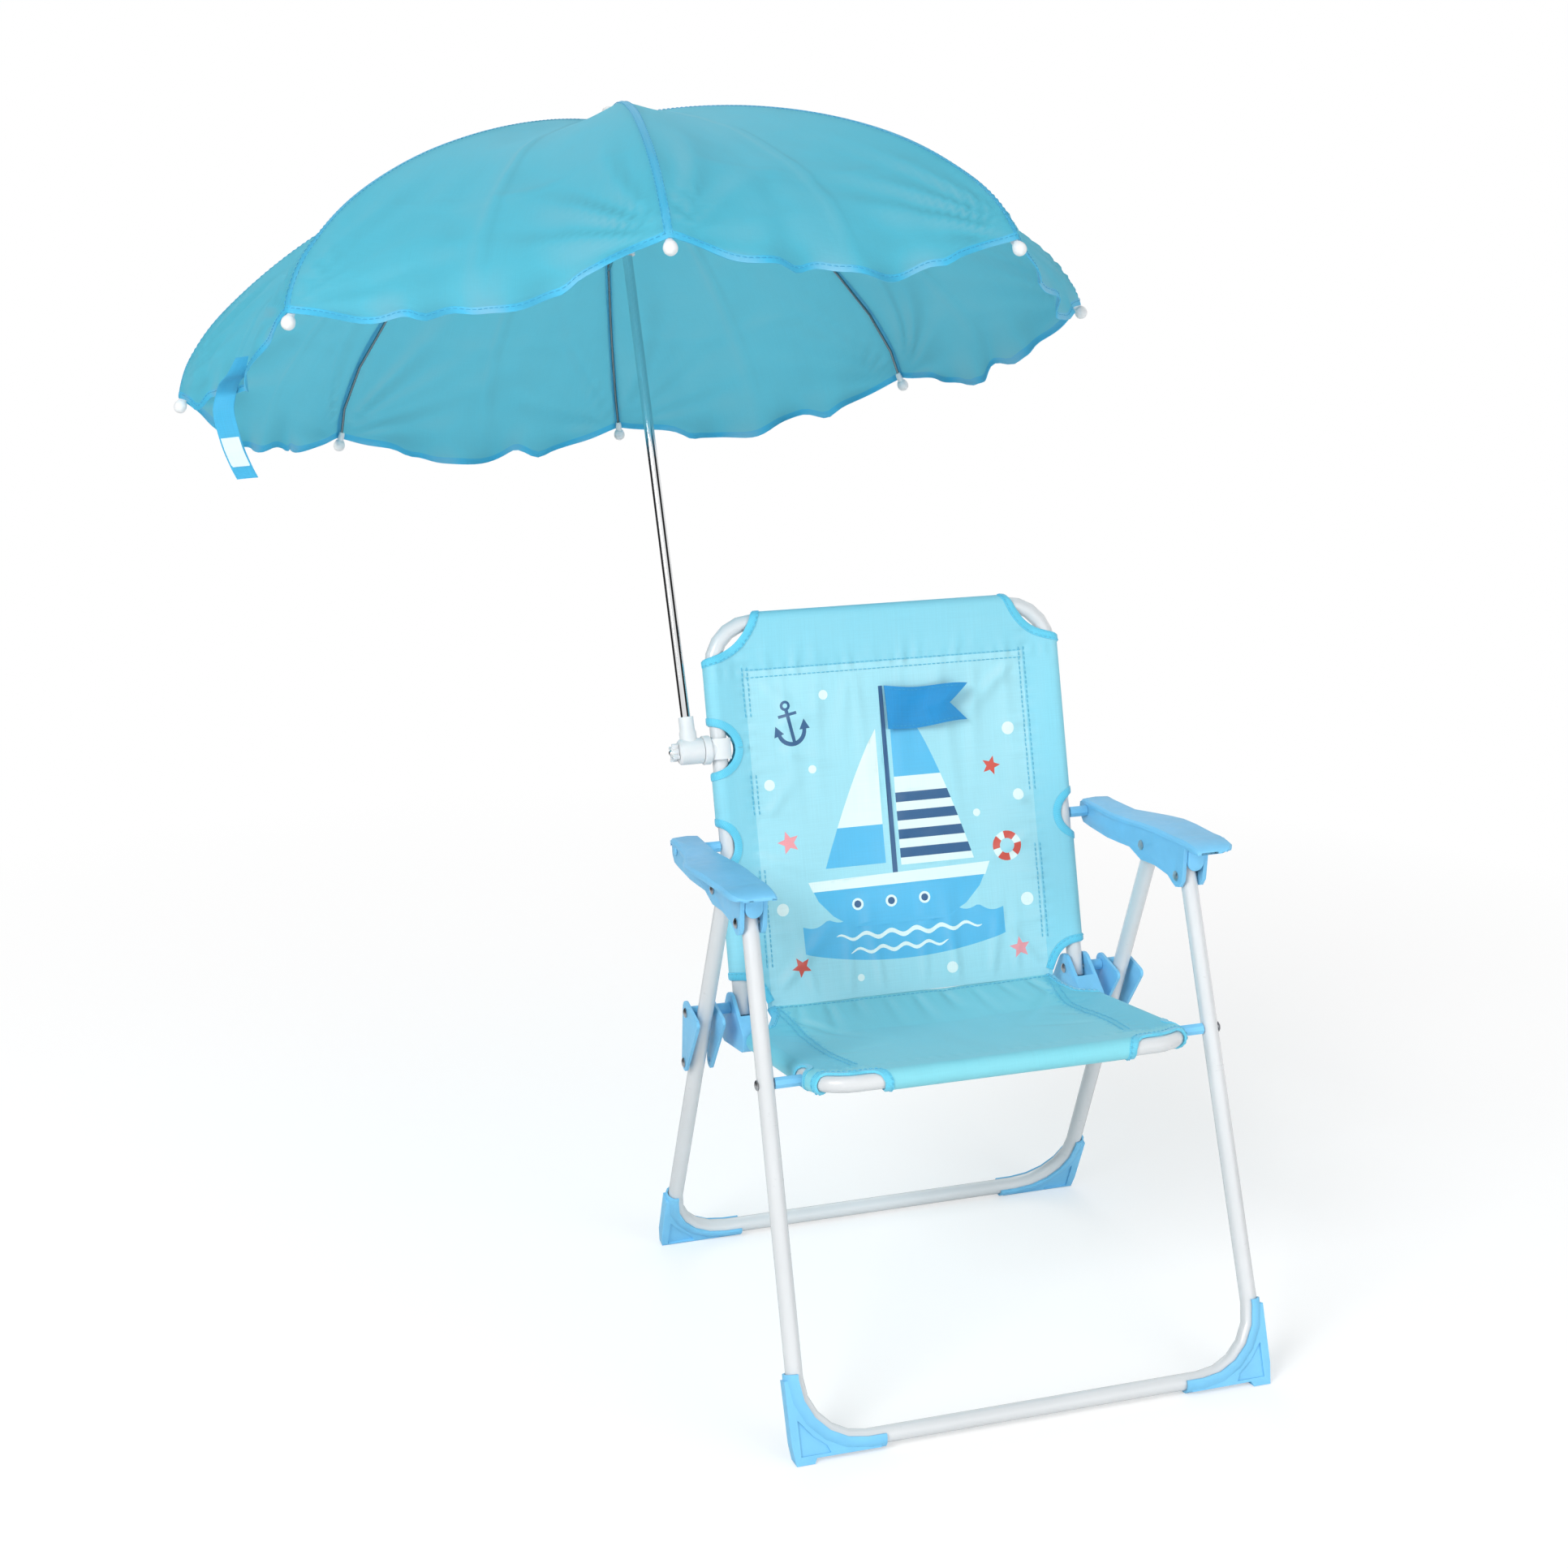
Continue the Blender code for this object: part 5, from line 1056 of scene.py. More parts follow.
def back_cloth():
    side_line, stitch, rim, edge = sleeve(SLEEVE_REACH, BACK_RISE, BACK_X)
    top_line, top_stitch, crest, crown = sleeve(TOP_SLEEVE_REACH, BACK_RISE, BACK_LENGTH)
    seam_half = BACK_X - SEAM_INSET
    crown_half = BACK_X - 0.036 - CLOTH
    shoulder = top_stitch + 0.011
    low_bite = bite((seam_half, 0.0), (rim, FOOT_GAP), 0.22)
    top_bite = bite((rim, shoulder), (crown_half, crest), 0.17)
    half = [(seam_half, -SEAM_DROP)] + low_bite + [(edge, FOOT_GAP), (edge, shoulder)] + top_bite
    half.append((crown_half, crown))
    outline = half + mirrored(half[::-1])
    arm_hole = oval((rim, ARM_REAR_RISE), 0.0170, 0.0165, 36)
    clamp_hole = oval((-rim, CLAMP_RISE), 0.0255, 0.0195, 44)
    holes = [arm_hole, mirrored(arm_hole), clamp_hole]
    panel = Panel(HINGE, BACK_UP, BACK_FRONT, (stitch, side_line), (top_stitch, top_line),
                  lambda v: BACK_RISE, back_creases(stitch, top_stitch), 0.0022, top_stitch)
    mark = {name: i for i, name in enumerate(["centre", "band", *PRINT])}
    folds = []
    for used, _, _ in side_line[:-1]:
        for side in (-1, 1):
            folds.append(((side * (stitch + used), -SEAM_DROP), (side * (stitch + used), crown)))
    for used, _, _ in top_line[:-1]:
        folds.append(((-crown_half, top_stitch + used), (crown_half, top_stitch + used)))

    def pick(p):
        return mark["centre"] if abs(p[0]) < stitch and p[1] < top_stitch else mark["band"]

    cloth, area = cut_panel("back_cloth", panel, outline, holes, folds, print_motifs(mark), pick,
                            [CENTRE, BAND, *PRINT.values()])
    rings = [(arm_hole, -1), (mirrored(arm_hole), 1), (clamp_hole, -1)]
    rows = back_rows(panel, stitch, top_stitch)
    sewn_on = sew_up("back", panel, (low_bite, top_bite), rings, rows, outline)
    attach(cloth, "back")
    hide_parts("sling_back")


def seat_side_start():
    """Where the seat cloth's side edge starts, clear of the hinge bracket's nose."""
    places = [vertex.co - SHIFT for vertex in frame["nodes"]["sling_seat"].data.vertices]
    return min((Vector((p.y, p.z)) - SEAT_REAR).dot(SEAT_FORE) for p in places if abs(p.x) > BACK_X)


def seat_creases(seam_v):
    creases = []
    for k in range(9):
        u = -0.100 + 0.025 * k
        creases.append((u, seam_v + 0.002, u * 1.14, 0.058 + 0.014 * math.sin(k * 2.3), 0.0048,
                        0.0019 + 0.0007 * math.sin(k * 1.7)))
    creases += [(0.112, 0.030, 0.052, 0.104, 0.006, 0.0020), (-0.112, 0.030, -0.056, 0.098, 0.006, 0.0020),
                (0.108, 0.132, 0.046, 0.104, 0.006, 0.0017), (-0.108, 0.132, -0.048, 0.108, 0.006, 0.0017),
                (0.116, 0.100, 0.078, 0.072, 0.005, 0.0013), (-0.116, 0.094, -0.080, 0.070, 0.005, 0.0013)]
    return creases


def seat_cloth():
    side_line, stitch, rim, edge = sleeve(SLEEVE_REACH, SEAT_RISE, BACK_X)
    nose_line, nose_stitch, _, lip = sleeve(SLEEVE_REACH, SEAT_RISE, SEAT_LENGTH + SEAT_NOSE)
    bend_u, bend_v = BACK_X - SEAT_BEND_R, SEAT_LENGTH + SEAT_NOSE - SEAT_BEND_R
    front = Vector((SEAT_FORE[1], -SEAT_FORE[0]))
    seam_half = BACK_X - SEAM_INSET
    seam = HINGE - BACK_UP * SEAM_DROP + Vector((-SEAM_GAP * 0.35, 0.0)) - SEAT_REAR
    seam_v, seam_rise = seam.dot(SEAT_FORE), seam.dot(front)
    clear = seat_side_start()
    lip_half = bend_u - 0.020

    def on_bend(angle, past):
        reach = SEAT_BEND_R - SLEEVE_REACH + past
        return (bend_u + reach * math.cos(angle), bend_v + reach * math.sin(angle))

    full = side_line[-1][0]
    top = next(entry[0] for entry in side_line if entry[1] > 0.0005)
    near = [(seam_half, seam_v), (seam_half + CLOTH, clear * 0.5),
            (seam_half + SEAM_INSET * 0.4, clear * 0.85), (rim - TUBE_R, clear)]
    wrapped = [on_bend(math.radians(4 * k), full) for k in range(1, 8)]
    front_bite = [on_bend(math.radians(angle), past) for angle, past in (
        (29.0, full), (30.0, full - 0.008), (31.5, top + 0.010), (35.0, top + 0.0035), (41.0, top + 0.0008),
        (50.0, top), (62.0, top), (74.0, top), (84.0, top))]
    crest = nose_stitch + top
    front_bite += [(bend_u - 0.006, crest), (bend_u - 0.0125, crest + 0.0012),
                   (lip_half + 0.0035, crest + 0.0045), (lip_half + 0.0008, crest + 0.0105), (lip_half, lip)]
    half = near + [(edge, clear), (edge, bend_v)] + wrapped + front_bite
    outline = half + mirrored(half[::-1])
    notch = oval((rim, SEAT_LENGTH - 0.0046), 0.010, 0.0098, 28)

    def rise(v):
        return seam_rise + (SEAT_RISE - seam_rise) * clamped((v - seam_v) / (SEAM_BLEND - seam_v))

    panel = Panel(SEAT_REAR, SEAT_FORE, front, (stitch, side_line), (nose_stitch, nose_line), rise,
                  seat_creases(seam_v), 0.0035, nose_stitch, (bend_u, bend_v, SEAT_BEND_R))

    def doubled(v):
        """How far out the second layer of cloth starts on each side."""
        share = clamped((v - seam_v) / (nose_stitch - seam_v))
        return (seam_half - 0.008 - 0.010 * math.sin(math.pi * min(share * 1.35, 1.0)) * (1 - share)
                - 0.012 * share ** 2.2)

    levels = [seam_v + (nose_stitch - seam_v) * k / 24 for k in range(25)]
    layer_edge = [(doubled(v), v) for v in levels]
    folds = [layer_edge, mirrored(layer_edge)]
    for used, _, _ in side_line[:-1]:
        line = [(stitch + used, seam_v), (stitch + used, bend_v)]
        line += [on_bend(QUARTER * k / 8, used) for k in range(1, 8)]
        line += [(bend_u, nose_stitch + used)]
        folds.append(line + mirrored(line[::-1]))

    def pick(p):
        return 0 if abs(p[0]) < doubled(p[1]) or p[1] > nose_stitch else 1

    holes = [notch, mirrored(notch)]
    cloth, area = cut_panel("seat_cloth", panel, outline, holes, folds, [], pick, [SEAT_BLUE, SEAT_BAND])
    rows = [row_on(panel, [(side * (u + outset), v) for u, v in layer_edge[1:-1]])
            for side in (-1, 1) for outset in (0.0022, 0.0075)]
    rows.append(row_on(panel, [(-seam_half + 0.004, seam_v + 0.0045), (seam_half - 0.004, seam_v + 0.0045)]))
    rings = [(notch, -1), (mirrored(notch), 1)]
    sewn_on = sew_up("seat", panel, (near, front_bite), rings, rows, outline, 0.0045)
    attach(cloth, "seat")
    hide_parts("sling_seat")


# The umbrella: eight gores round the pole; shares run down a gore, turns run round by gores
SOCKET_HEIGHT = 0.028
POLE_LEAN = math.radians(17.5)
POLE_SIDE_LEAN = math.radians(1.75)
RIM_HEIGHT = 0.299
RIM_RADIUS = 0.365
CROWN_HEIGHT = 0.185
CROWN_TAPER = 1.6
CROWN_FULLNESS = 0.62
CROWN_HOLE_R = 0.0052
GORES = 8
GORE_ANGLE = FULL_TURN / GORES
FIRST_RIB = math.radians(79.7)
GORE_DIP = 0.012
GORE_FLAT = 0.95
HEM_CURVE = 3
HEM_DROOP = 0.027
HEM_WAVE = 0.004
HEM_WAVES = 2
CANOPY_THIN = 0.00045
LAYER = 0.0004
OFF_RIBS = 0.0006
HEM_BAND = 0.0052
SEAM_BAND = 0.0024
GORE_COLUMNS = 44
GORE_RINGS = 60
HEM_RINGS = 2
PULL_REACH = 0.24

AXIS = Vector((-math.sin(POLE_SIDE_LEAN), math.sin(POLE_LEAN), math.cos(POLE_LEAN))).normalized()
FOOT = Vector(JOINTS["umbrella_tilt"]["pos_m"]) + AXIS * SOCKET_HEIGHT
REAR = AXIS.cross(Vector((1, 0, 0))).normalized()
RIGHT = REAR.cross(AXIS)
HEM_STARTS = {}


def outward_at(angle):
    return RIGHT * math.cos(angle) + REAR * math.sin(angle)


def rim_point(radius, height, angle):
    return FOOT + AXIS * (RIM_HEIGHT + height) + outward_at(angle) * radius


def gore_radius(share):
    return CROWN_HOLE_R + (RIM_RADIUS - CROWN_HOLE_R) * math.sin(share * QUARTER)


def rib_height(radius):
    return CROWN_HEIGHT * max(1 - (radius / RIM_RADIUS) ** CROWN_TAPER, 0.0) ** CROWN_FULLNESS


def canopy_base(share, turn):
    """The taut cloth: it lies on the ribs, droops between them and waves at the hem."""
    gore = turn % 1.0
    number = math.floor(turn) % GORES
    bulge = math.sin(math.pi * gore)
    wave = math.sin(FULL_TURN * HEM_WAVES * gore) * HEM_WAVE * bulge
    wave += math.sin(FULL_TURN * (4.5 * gore + 0.13 * number)) * 0.0016 * bulge
    kink = gore - 0.30 - 0.10 * math.sin(number * 2.3)
    wave += 0.0042 * bell(kink, 0.035) - 0.0030 * bell(kink - 0.075, 0.040)
    kink = gore - 0.70 - 0.08 * math.cos(number * 1.7)
    wave += 0.0030 * bell(kink, 0.030)
    radius = gore_radius(share)
    flat = 1 - (1 - math.cos(math.pi / GORES)) * bulge * GORE_FLAT
    lower = GORE_DIP * bulge * math.sin(math.pi * share) + (HEM_DROOP * bulge + wave) * share ** HEM_CURVE
    return rim_point(radius * flat, rib_height(radius) - lower, FIRST_RIB + FULL_TURN * turn / GORES)


def canopy_normal(share, turn):
    e = 0.002
    down = canopy_base(min(share + e, 1.0), turn) - canopy_base(max(share - e, 0.0), turn)
    aside = e if 2 * e <= turn % 1.0 <= 1 - 2 * e else 3 * e
    around = canopy_base(share, turn + aside) - canopy_base(share, turn - aside)
    return down.cross(around).normalized()


def tip_pulls(share, turn, point):
    """Pulls in the cloth that fan out from the two rib tips of a gore."""
    number = math.floor(turn) % GORES
    total = 0.0
    for tip in (0, 1):
        rib = math.floor(turn) + tip * 0.99999
        end = canopy_base(1.0, rib)
        way = point - end
        away = way.length
        if away > PULL_REACH or away < 0.0005:
            continue
        rib_way = (canopy_base(0.80, rib) - end).normalized()
        angle = math.acos(clamped(way.normalized().dot(rib_way), -1.0, 1.0))
        phase = number * 1.3 + tip * 0.9
        fan = bell(angle - 0.50 - 0.08 * math.sin(phase), 0.070)
        fan += 0.8 * bell(angle - 0.86 - 0.06 * math.cos(phase * 1.7), 0.080)
        fan += 0.6 * bell(angle - 1.14 + 0.05 * math.sin(phase * 2.3), 0.070)
        fan += 0.25 * math.cos(angle * 17 + phase * 2)
        fade = min(1.0, away / 0.040) * max(0.0, 1 - away / PULL_REACH) ** 1.2 * min(1.0, angle / 0.15)
        total += 0.0032 * fan * fade
    return total


def canopy_wrinkle(share, turn):
    """The pulls, a pressed fold down and across each gore, soft swells, and a loose ripple at the hem."""
    gore = turn % 1.0
    number = math.floor(turn) % GORES
    bulge = math.sin(math.pi * gore)
    point = canopy_base(share, turn)
    total = tip_pulls(share, turn, point)
    total += 0.0015 * bell(abs(gore - 0.5), 0.016) * math.sin(math.pi * min(1.0, share * 1.05)) ** 0.5
    total += 0.0013 * bell(share - 0.62 - 0.02 * math.sin(number * 2.0), 0.010) * bulge
    total += 0.0034 * noise.noise(point * 9.0 + Vector((number * 3.7, 0, 0))) * bulge
    total += 0.0012 * noise.noise(point * 30.0) * bulge
    loose = max(0.0, share - 0.80) / 0.20
    total += 0.0048 * loose ** 2 * math.sin(gore * 23.0 + number * 2.1) * bulge ** 0.7
    return total


def hem_start(turn):
    """The share at which the hem's band begins."""
    key = round(turn, 5)
    if key not in HEM_STARTS:
        end = canopy_base(1.0, turn)
        low, high = 0.80, 1.0
        for step in range(18):
            middle = (low + high) / 2
            if (canopy_base(middle, turn) - end).length > HEM_BAND:
                low = middle
            else:
                high = middle
        HEM_STARTS[key] = low
    return HEM_STARTS[key]


def column_turn(gore, column, radius):
    """A column's turn; the first and the second one bound the seam's band, whose width stays the same."""
    if column == 0:
        return float(gore)
    half = min(SEAM_BAND / radius / GORE_ANGLE, 0.20)
    return gore + (half + (1 - 2 * half) * (column - 1) / GORE_COLUMNS)


def ring_share(ring, turn):
    limit = hem_start(turn)
    if ring <= GORE_RINGS:
        return limit * ring / GORE_RINGS
    return limit + (1 - limit) * (ring - GORE_RINGS) / HEM_RINGS


def canopy_cloth():
    """The canopy: one sheet with both skins, the seams' and the hem's bands in it."""
    columns = [(gore, column) for gore in range(GORES) for column in range(GORE_COLUMNS + 2)]
    count = len(columns)
    last = GORE_RINGS + HEM_RINGS
    mesh = bmesh.new()
    layer = flat_layer(mesh)
    tops, unders, marks, swells, middles = [], [], [], [], []
    for j in range(last + 1):
        radius = gore_radius(min(j / GORE_RINGS, 1.0))
        top, under, mark, heights, places = [], [], [], [], []
        for gore, column in columns:
            turn = column_turn(gore, column, radius)
            share = ring_share(j, turn)
            point, normal = canopy_base(share, turn), canopy_normal(share, turn)
            raised = canopy_wrinkle(share, turn)
            heights.append(raised)
            places.append(point)
            if j > GORE_RINGS:
                raised += LAYER
            if column in (0, 1):
                raised += LAYER
            raised += OFF_RIBS
            top.append(point + normal * (raised + CANOPY_THIN))
            under.append(point + normal * (raised - CANOPY_THIN))
            mark.append(((turn % 1.0 - 0.5) * (radius * FULL_TURN / GORES) + gore * 0.4, share * 0.43))
        for rows, row in ((tops, top), (unders, under), (marks, mark), (swells, heights), (middles, places)):
            rows.append(row)
    over = [[mesh.verts.new(p) for p in ring] for ring in tops]
    below = [[mesh.verts.new(p) for p in ring] for ring in unders]

    def kind(j, i):
        if j >= GORE_RINGS:
            return 2
        return 1 if columns[i][1] in (0, GORE_COLUMNS + 1) else 0

    for j in range(last):
        for i in range(count):
            n = (i + 1) % count
            spots = [(j, i), (j, n), (j + 1, n), (j + 1, i)]
            uvs = [marks[a][b] for a, b in spots]
            if columns[n][1] == 0:
                uvs[1] = (2 * marks[j][i][0] - marks[j][i - 1][0], marks[j][n][1])
                uvs[2] = (2 * marks[j + 1][i][0] - marks[j + 1][i - 1][0], marks[j + 1][n][1])
            add_face(mesh, layer, [over[a][b] for a, b in reversed(spots)], uvs[::-1], kind(j, i))
            add_face(mesh, layer, [below[a][b] for a, b in spots], uvs, kind(j, i))
    for i in range(count):
        n = (i + 1) % count
        for j, index in ((last, 2), (0, 0)):
            corners = [over[j][i], over[j][n], below[j][n], below[j][i]]
            add_face(mesh, layer, corners[::-1] if j == last else corners, (), index)
    area = sum(face.calc_area() for face in mesh.faces) / 2
    cloth = finished("canopy_cloth", mesh, [CANOPY, SEAM_CLOTH, HEM_CLOTH])
    # Painted highlight and painted shade: the wrinkles' slope round and down each gore, stored per point,
    # paints the cloth lighter on folds that face the light and darker on those that face away; the under skin
    # gets it turned and weaker.
    slopes = []
    for j in range(last + 1):
        for i in range(count):
            before, after = (i - 1) % count, (i + 1) % count
            up, down = max(j - 1, 0), min(j + 1, last)
            around = (middles[j][after] - middles[j][before]).length
            along = (middles[down][i] - middles[up][i]).length
            lean = (swells[j][after] - swells[j][before]) / max(around, 0.004)
            pitch = (swells[up][i] - swells[down][i]) / max(along, 0.004)
            slopes.append(clamped(1.25 * lean + 0.8 * pitch, -0.6, 0.6))
    cloth.data.attributes.new("painted_fold_shading", "FLOAT", "POINT").data.foreach_set(
        "value", slopes + [-0.8 * slope for slope in slopes])
    return cloth, area


def canopy_stitches():
    """Stitches along both sides of each seam and round the hem."""
    start, end, points = 0.06, 0.985, 56
    beside_seam, hem_inset, thread_lift = 0.0021, 0.72, 0.0010

    def spot(share, turn):
        normal = canopy_normal(share, turn)
        off = canopy_wrinkle(share, turn) + thread_lift + CANOPY_THIN
        return canopy_base(share, turn) + normal * off, normal

    rows = []
    for gore in range(GORES):
        for side in (-1, 1):
            line = []
            for k in range(points):
                share = start + (end - start) * k / (points - 1)
                turn = gore + side * beside_seam / gore_radius(share) / GORE_ANGLE
                line.append(spot(share, turn + GORES if turn < 0 else turn))
            rows.append(line)
    hem = []
    for step in range(GORES * 60 + 1):
        turn = (step / 60) % GORES
        hem.append(spot(1 - (1 - hem_start(round(turn, 3))) * hem_inset, turn))
    rows.append(hem)
    return stitches("canopy_stitches", rows, THREAD_BLUE, 0.0046, 0.0034, 0.00026)


def rib_tips():
    """White covers over the ribs' ball tips, turned from places along the rib and their radii."""
    profile = ((-0.0125, 0.0021), (-0.0105, 0.0026), (-0.0050, 0.0028), (-0.0046, 0.0035), (-0.0034, 0.0042),
               (-0.0016, 0.0049), (0.0004, 0.0051), (0.0022, 0.0047), (0.0038, 0.0036), (0.0048, 0.0020),
               (0.0052, 0.0004))
    drop = 0.0046
    turns = [FULL_TURN * k / 16 for k in range(16)]
    mesh = bmesh.new()
    for gore in range(GORES):
        angle = FIRST_RIB + FULL_TURN * gore / GORES
        end = rim_point(RIM_RADIUS, -drop, angle)
        way = (end - rim_point(RIM_RADIUS - 0.0026, 0.0, angle)).normalized()
        middle = end + way * (drop * 0.6)
        side = way.cross(AXIS).normalized()
        other = side.cross(way)
        rings = []
        for depth, radius in profile:
            rings.append([middle + way * depth + (side * math.cos(turn) + other * math.sin(turn)) * radius
                          for turn in turns])
        ring_skin(mesh, rings, [[(depth, turn * 0.005) for turn in turns] for depth, _ in profile])
    return finished("rib_tips", mesh, [WHITE])


def canopy():
    cloth, area = canopy_cloth()
    sewn = canopy_stitches()
    caps = rib_tips()
    for piece, slot in ((cloth, "canopy_cloth"), (sewn, "canopy_cloth"), (caps, "white_plastic")):
        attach(piece, "umbrella")
    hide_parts("canopy")
    steps = 60
    line = [canopy_base(k / steps, 0.5) for k in range(steps + 1)]


# The closing strap
STRAP_HALF = 0.0078
STRAP_THICK = 0.0005
STRAP_CUP = 0.0008
PATCH_HALF = 0.0066
PATCH_THICK = 0.0004
PATCH_SPAN = (0.66, 0.86)
STRAP_TURN = 2.5


def smooth_path(knots, steps=5):
    """A curve through the knots."""
    path = []
    for k in range(len(knots) - 1):
        before, a, b, after = knots[max(k - 1, 0)], knots[k], knots[k + 1], knots[min(k + 2, len(knots) - 1)]
        for step in range(steps):
            t = step / steps
            path.append((a * 2 + (b - before) * t + (before * 2 - a * 5 + b * 4 - after) * (t * t)
                         + (a * 3 - before - b * 3 + after) * (t * t * t)) * 0.5)
    path.append(knots[-1])
    return path


def strap():
    """The strap that runs over the hem at the left and hangs down, with its bare patch."""
    outward = outward_at(FIRST_RIB + FULL_TURN * STRAP_TURN / GORES)
    across = AXIS.cross(outward)
    knots = [canopy_base(share, turn) + canopy_normal(share, turn) * off for share, turn, off in (
        (0.905, 2.66, 0.0042), (0.935, 2.61, 0.0062), (0.968, 2.55, 0.0068), (1.0, STRAP_TURN, 0.0058))]
    hem = knots[-1]
    for drop, out in ((0.012, 0.0030), (0.026, 0.0012), (0.040, -0.0020), (0.053, -0.0065), (0.062, -0.0105)):
        knots.append(hem - AXIS * drop + outward * out - across * (drop * 0.10))
    path = smooth_path(knots)
    count = len(path)
    travel = [0.0]
    for a, b in zip(path, path[1:]):
        travel.append(travel[-1] + (b - a).length)
    ways = [(path[min(k + 1, count - 1)] - path[max(k - 1, 0)]).normalized() for k in range(count)]
    section = ((-1, -1), (-0.92, -1.5), (-0.4, -1.1), (0.4, -1.1), (0.92, -1.5), (1, -1), (1, 1), (0.92, 1.5),
               (0.4, 1.1), (-0.4, 1.1), (-0.92, 1.5), (-1, 1))
    rings, marks = [], []
    for k, point in enumerate(path):
        twist = -0.95 - 0.30 * k / (count - 1)
        side = (across * math.cos(twist) + outward * math.sin(twist)).normalized()
        face = ways[k].cross(side).normalized()
        cup = STRAP_CUP * math.sin(travel[k] * 160)
        rings.append([point + side * (STRAP_HALF * x) + face * (STRAP_THICK * y + cup * (1 - x * x))
                      for x, y in section])
        marks.append([(STRAP_HALF * x, travel[k]) for x, y in section])
    mesh = bmesh.new()
    ring_skin(mesh, rings, marks)
    band = finished("hem_strap", mesh, [STRAP])
    patch = bmesh.new()
    first, final = (int(count * share) for share in PATCH_SPAN)
    for sign, left, right in ((1, 9, 8), (-1, 2, 3)):
        rows, marks = [], []
        for k in range(first, final + 1):
            low, high = rings[k][left], rings[k][right]
            middle = (low + high) / 2
            wide = (high - low).normalized()
            out = ways[k].cross(wide).normalized() * (PATCH_THICK * sign)
            if out.dot(middle - path[k]) < 0:
                out = -out
            ends = (middle - wide * PATCH_HALF, middle + wide * PATCH_HALF)
            rows.append([ends[0], ends[1], ends[1] + out, ends[0] + out])
            marks.append([(x, travel[k]) for x in (-PATCH_HALF, PATCH_HALF, PATCH_HALF, -PATCH_HALF)])
        ring_skin(patch, rows, marks, turn=sign < 0)
    label = finished("strap_patch", patch, [PATCH])
    for piece in (band, label):
        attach(piece, "umbrella")
    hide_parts("closing_strap")


# The pennant's size, its hoist on the back's pattern and its grid
PENNANT_LENGTH, PENNANT_DEPTH = 0.070, 0.036
PENNANT_ROOT = (-0.0035, 0.2495)
PENNANT_GRID = (26, 14)
PENNANT_LIFT = 0.0028
PENNANT_THIN = 0.0006


def pennant_point(i, j, skin):
    """A point of the pennant: it stands off further towards its two tails, and droops."""
    s, t = i / PENNANT_GRID[0], j / PENNANT_GRID[1]
    notch = 0.017 * (1 - abs(2 * t - 1))
    droop = 0.006 * s + 0.004 * math.sin(s * 5.2)
    u = PENNANT_ROOT[0] + s * (PENNANT_LENGTH - notch * s)
    v = PENNANT_ROOT[1] - PENNANT_DEPTH * (0.06 * s) - PENNANT_DEPTH * t * (1 - 0.16 * s) - droop * 0.4
    lift = PENNANT_LIFT + 0.0105 * s ** 0.8 * (0.55 + 0.45 * math.cos((t - 0.35) * 3.0))
    lift += 0.0022 * math.sin(s * 9 + t * 2)
    return side_point(u, HINGE + BACK_UP * v + BACK_FRONT * (BACK_RISE + lift + skin))


def pennant():
    """A small two-tailed flag of folded cloth sewn to the back along its hoist."""
    across, down = PENNANT_GRID
    facing = Vector((0, *BACK_FRONT))
    mesh = bmesh.new()
    layer = flat_layer(mesh)

    def flat_place(i, j):
        return (i / across * PENNANT_LENGTH, j / down * PENNANT_DEPTH)

    skins = []
    for skin in (PENNANT_THIN, -PENNANT_THIN):
        rows = [[mesh.verts.new(pennant_point(i, j, skin)) for j in range(down + 1)]
                for i in range(across + 1)]
        skins.append(rows)
        for i in range(across):
            for j in range(down):
                spots = [(i, j), (i + 1, j), (i + 1, j + 1), (i, j + 1)]
                if skin > 0:
                    spots.reverse()
                add_face(mesh, layer, [rows[a][b] for a, b in spots], [flat_place(a, b) for a, b in spots])
    fore, back = skins
    rim = [(i, 0) for i in range(across + 1)] + [(across, j) for j in range(1, down + 1)]
    rim += [(i, down) for i in range(across - 1, -1, -1)] + [(0, j) for j in range(down - 1, 0, -1)]
    for (a, b), (c, d) in zip(rim, rim[1:] + rim[:1]):
        places = [flat_place(a, b), flat_place(c, d), flat_place(c, d), flat_place(a, b)]
        add_face(mesh, layer, [fore[a][b], fore[c][d], back[c][d], back[a][b]], places)
    flag = finished("pennant", mesh, [FLAG])
    hoist = []
    for k in range(24):
        v = PENNANT_ROOT[1] - 0.001 - (PENNANT_DEPTH - 0.002) * k / 23
        yz = HINGE + BACK_UP * v + BACK_FRONT * (BACK_RISE + PENNANT_LIFT + 0.0009)
        hoist.append((side_point(PENNANT_ROOT[0] + 0.0022, yz), facing))
    rows = [hoist]
    for j in (1, down - 1):
        row = []
        for i in range(1, across):
            here, ahead, below = (pennant_point(a, b, 0.0008) for a, b in ((i, j), (i + 1, j), (i, j + 1)))
            normal = (ahead - here).cross(below - here)
            row.append((here, (normal if normal.dot(facing) >= 0 else -normal).normalized()))
        rows.append(row)
    sewn = stitches("pennant_stitches", rows, THREAD_BLUE, 0.0036, 0.0026, 0.00024)
    for piece in (flag, sewn):
        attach(piece, "back")


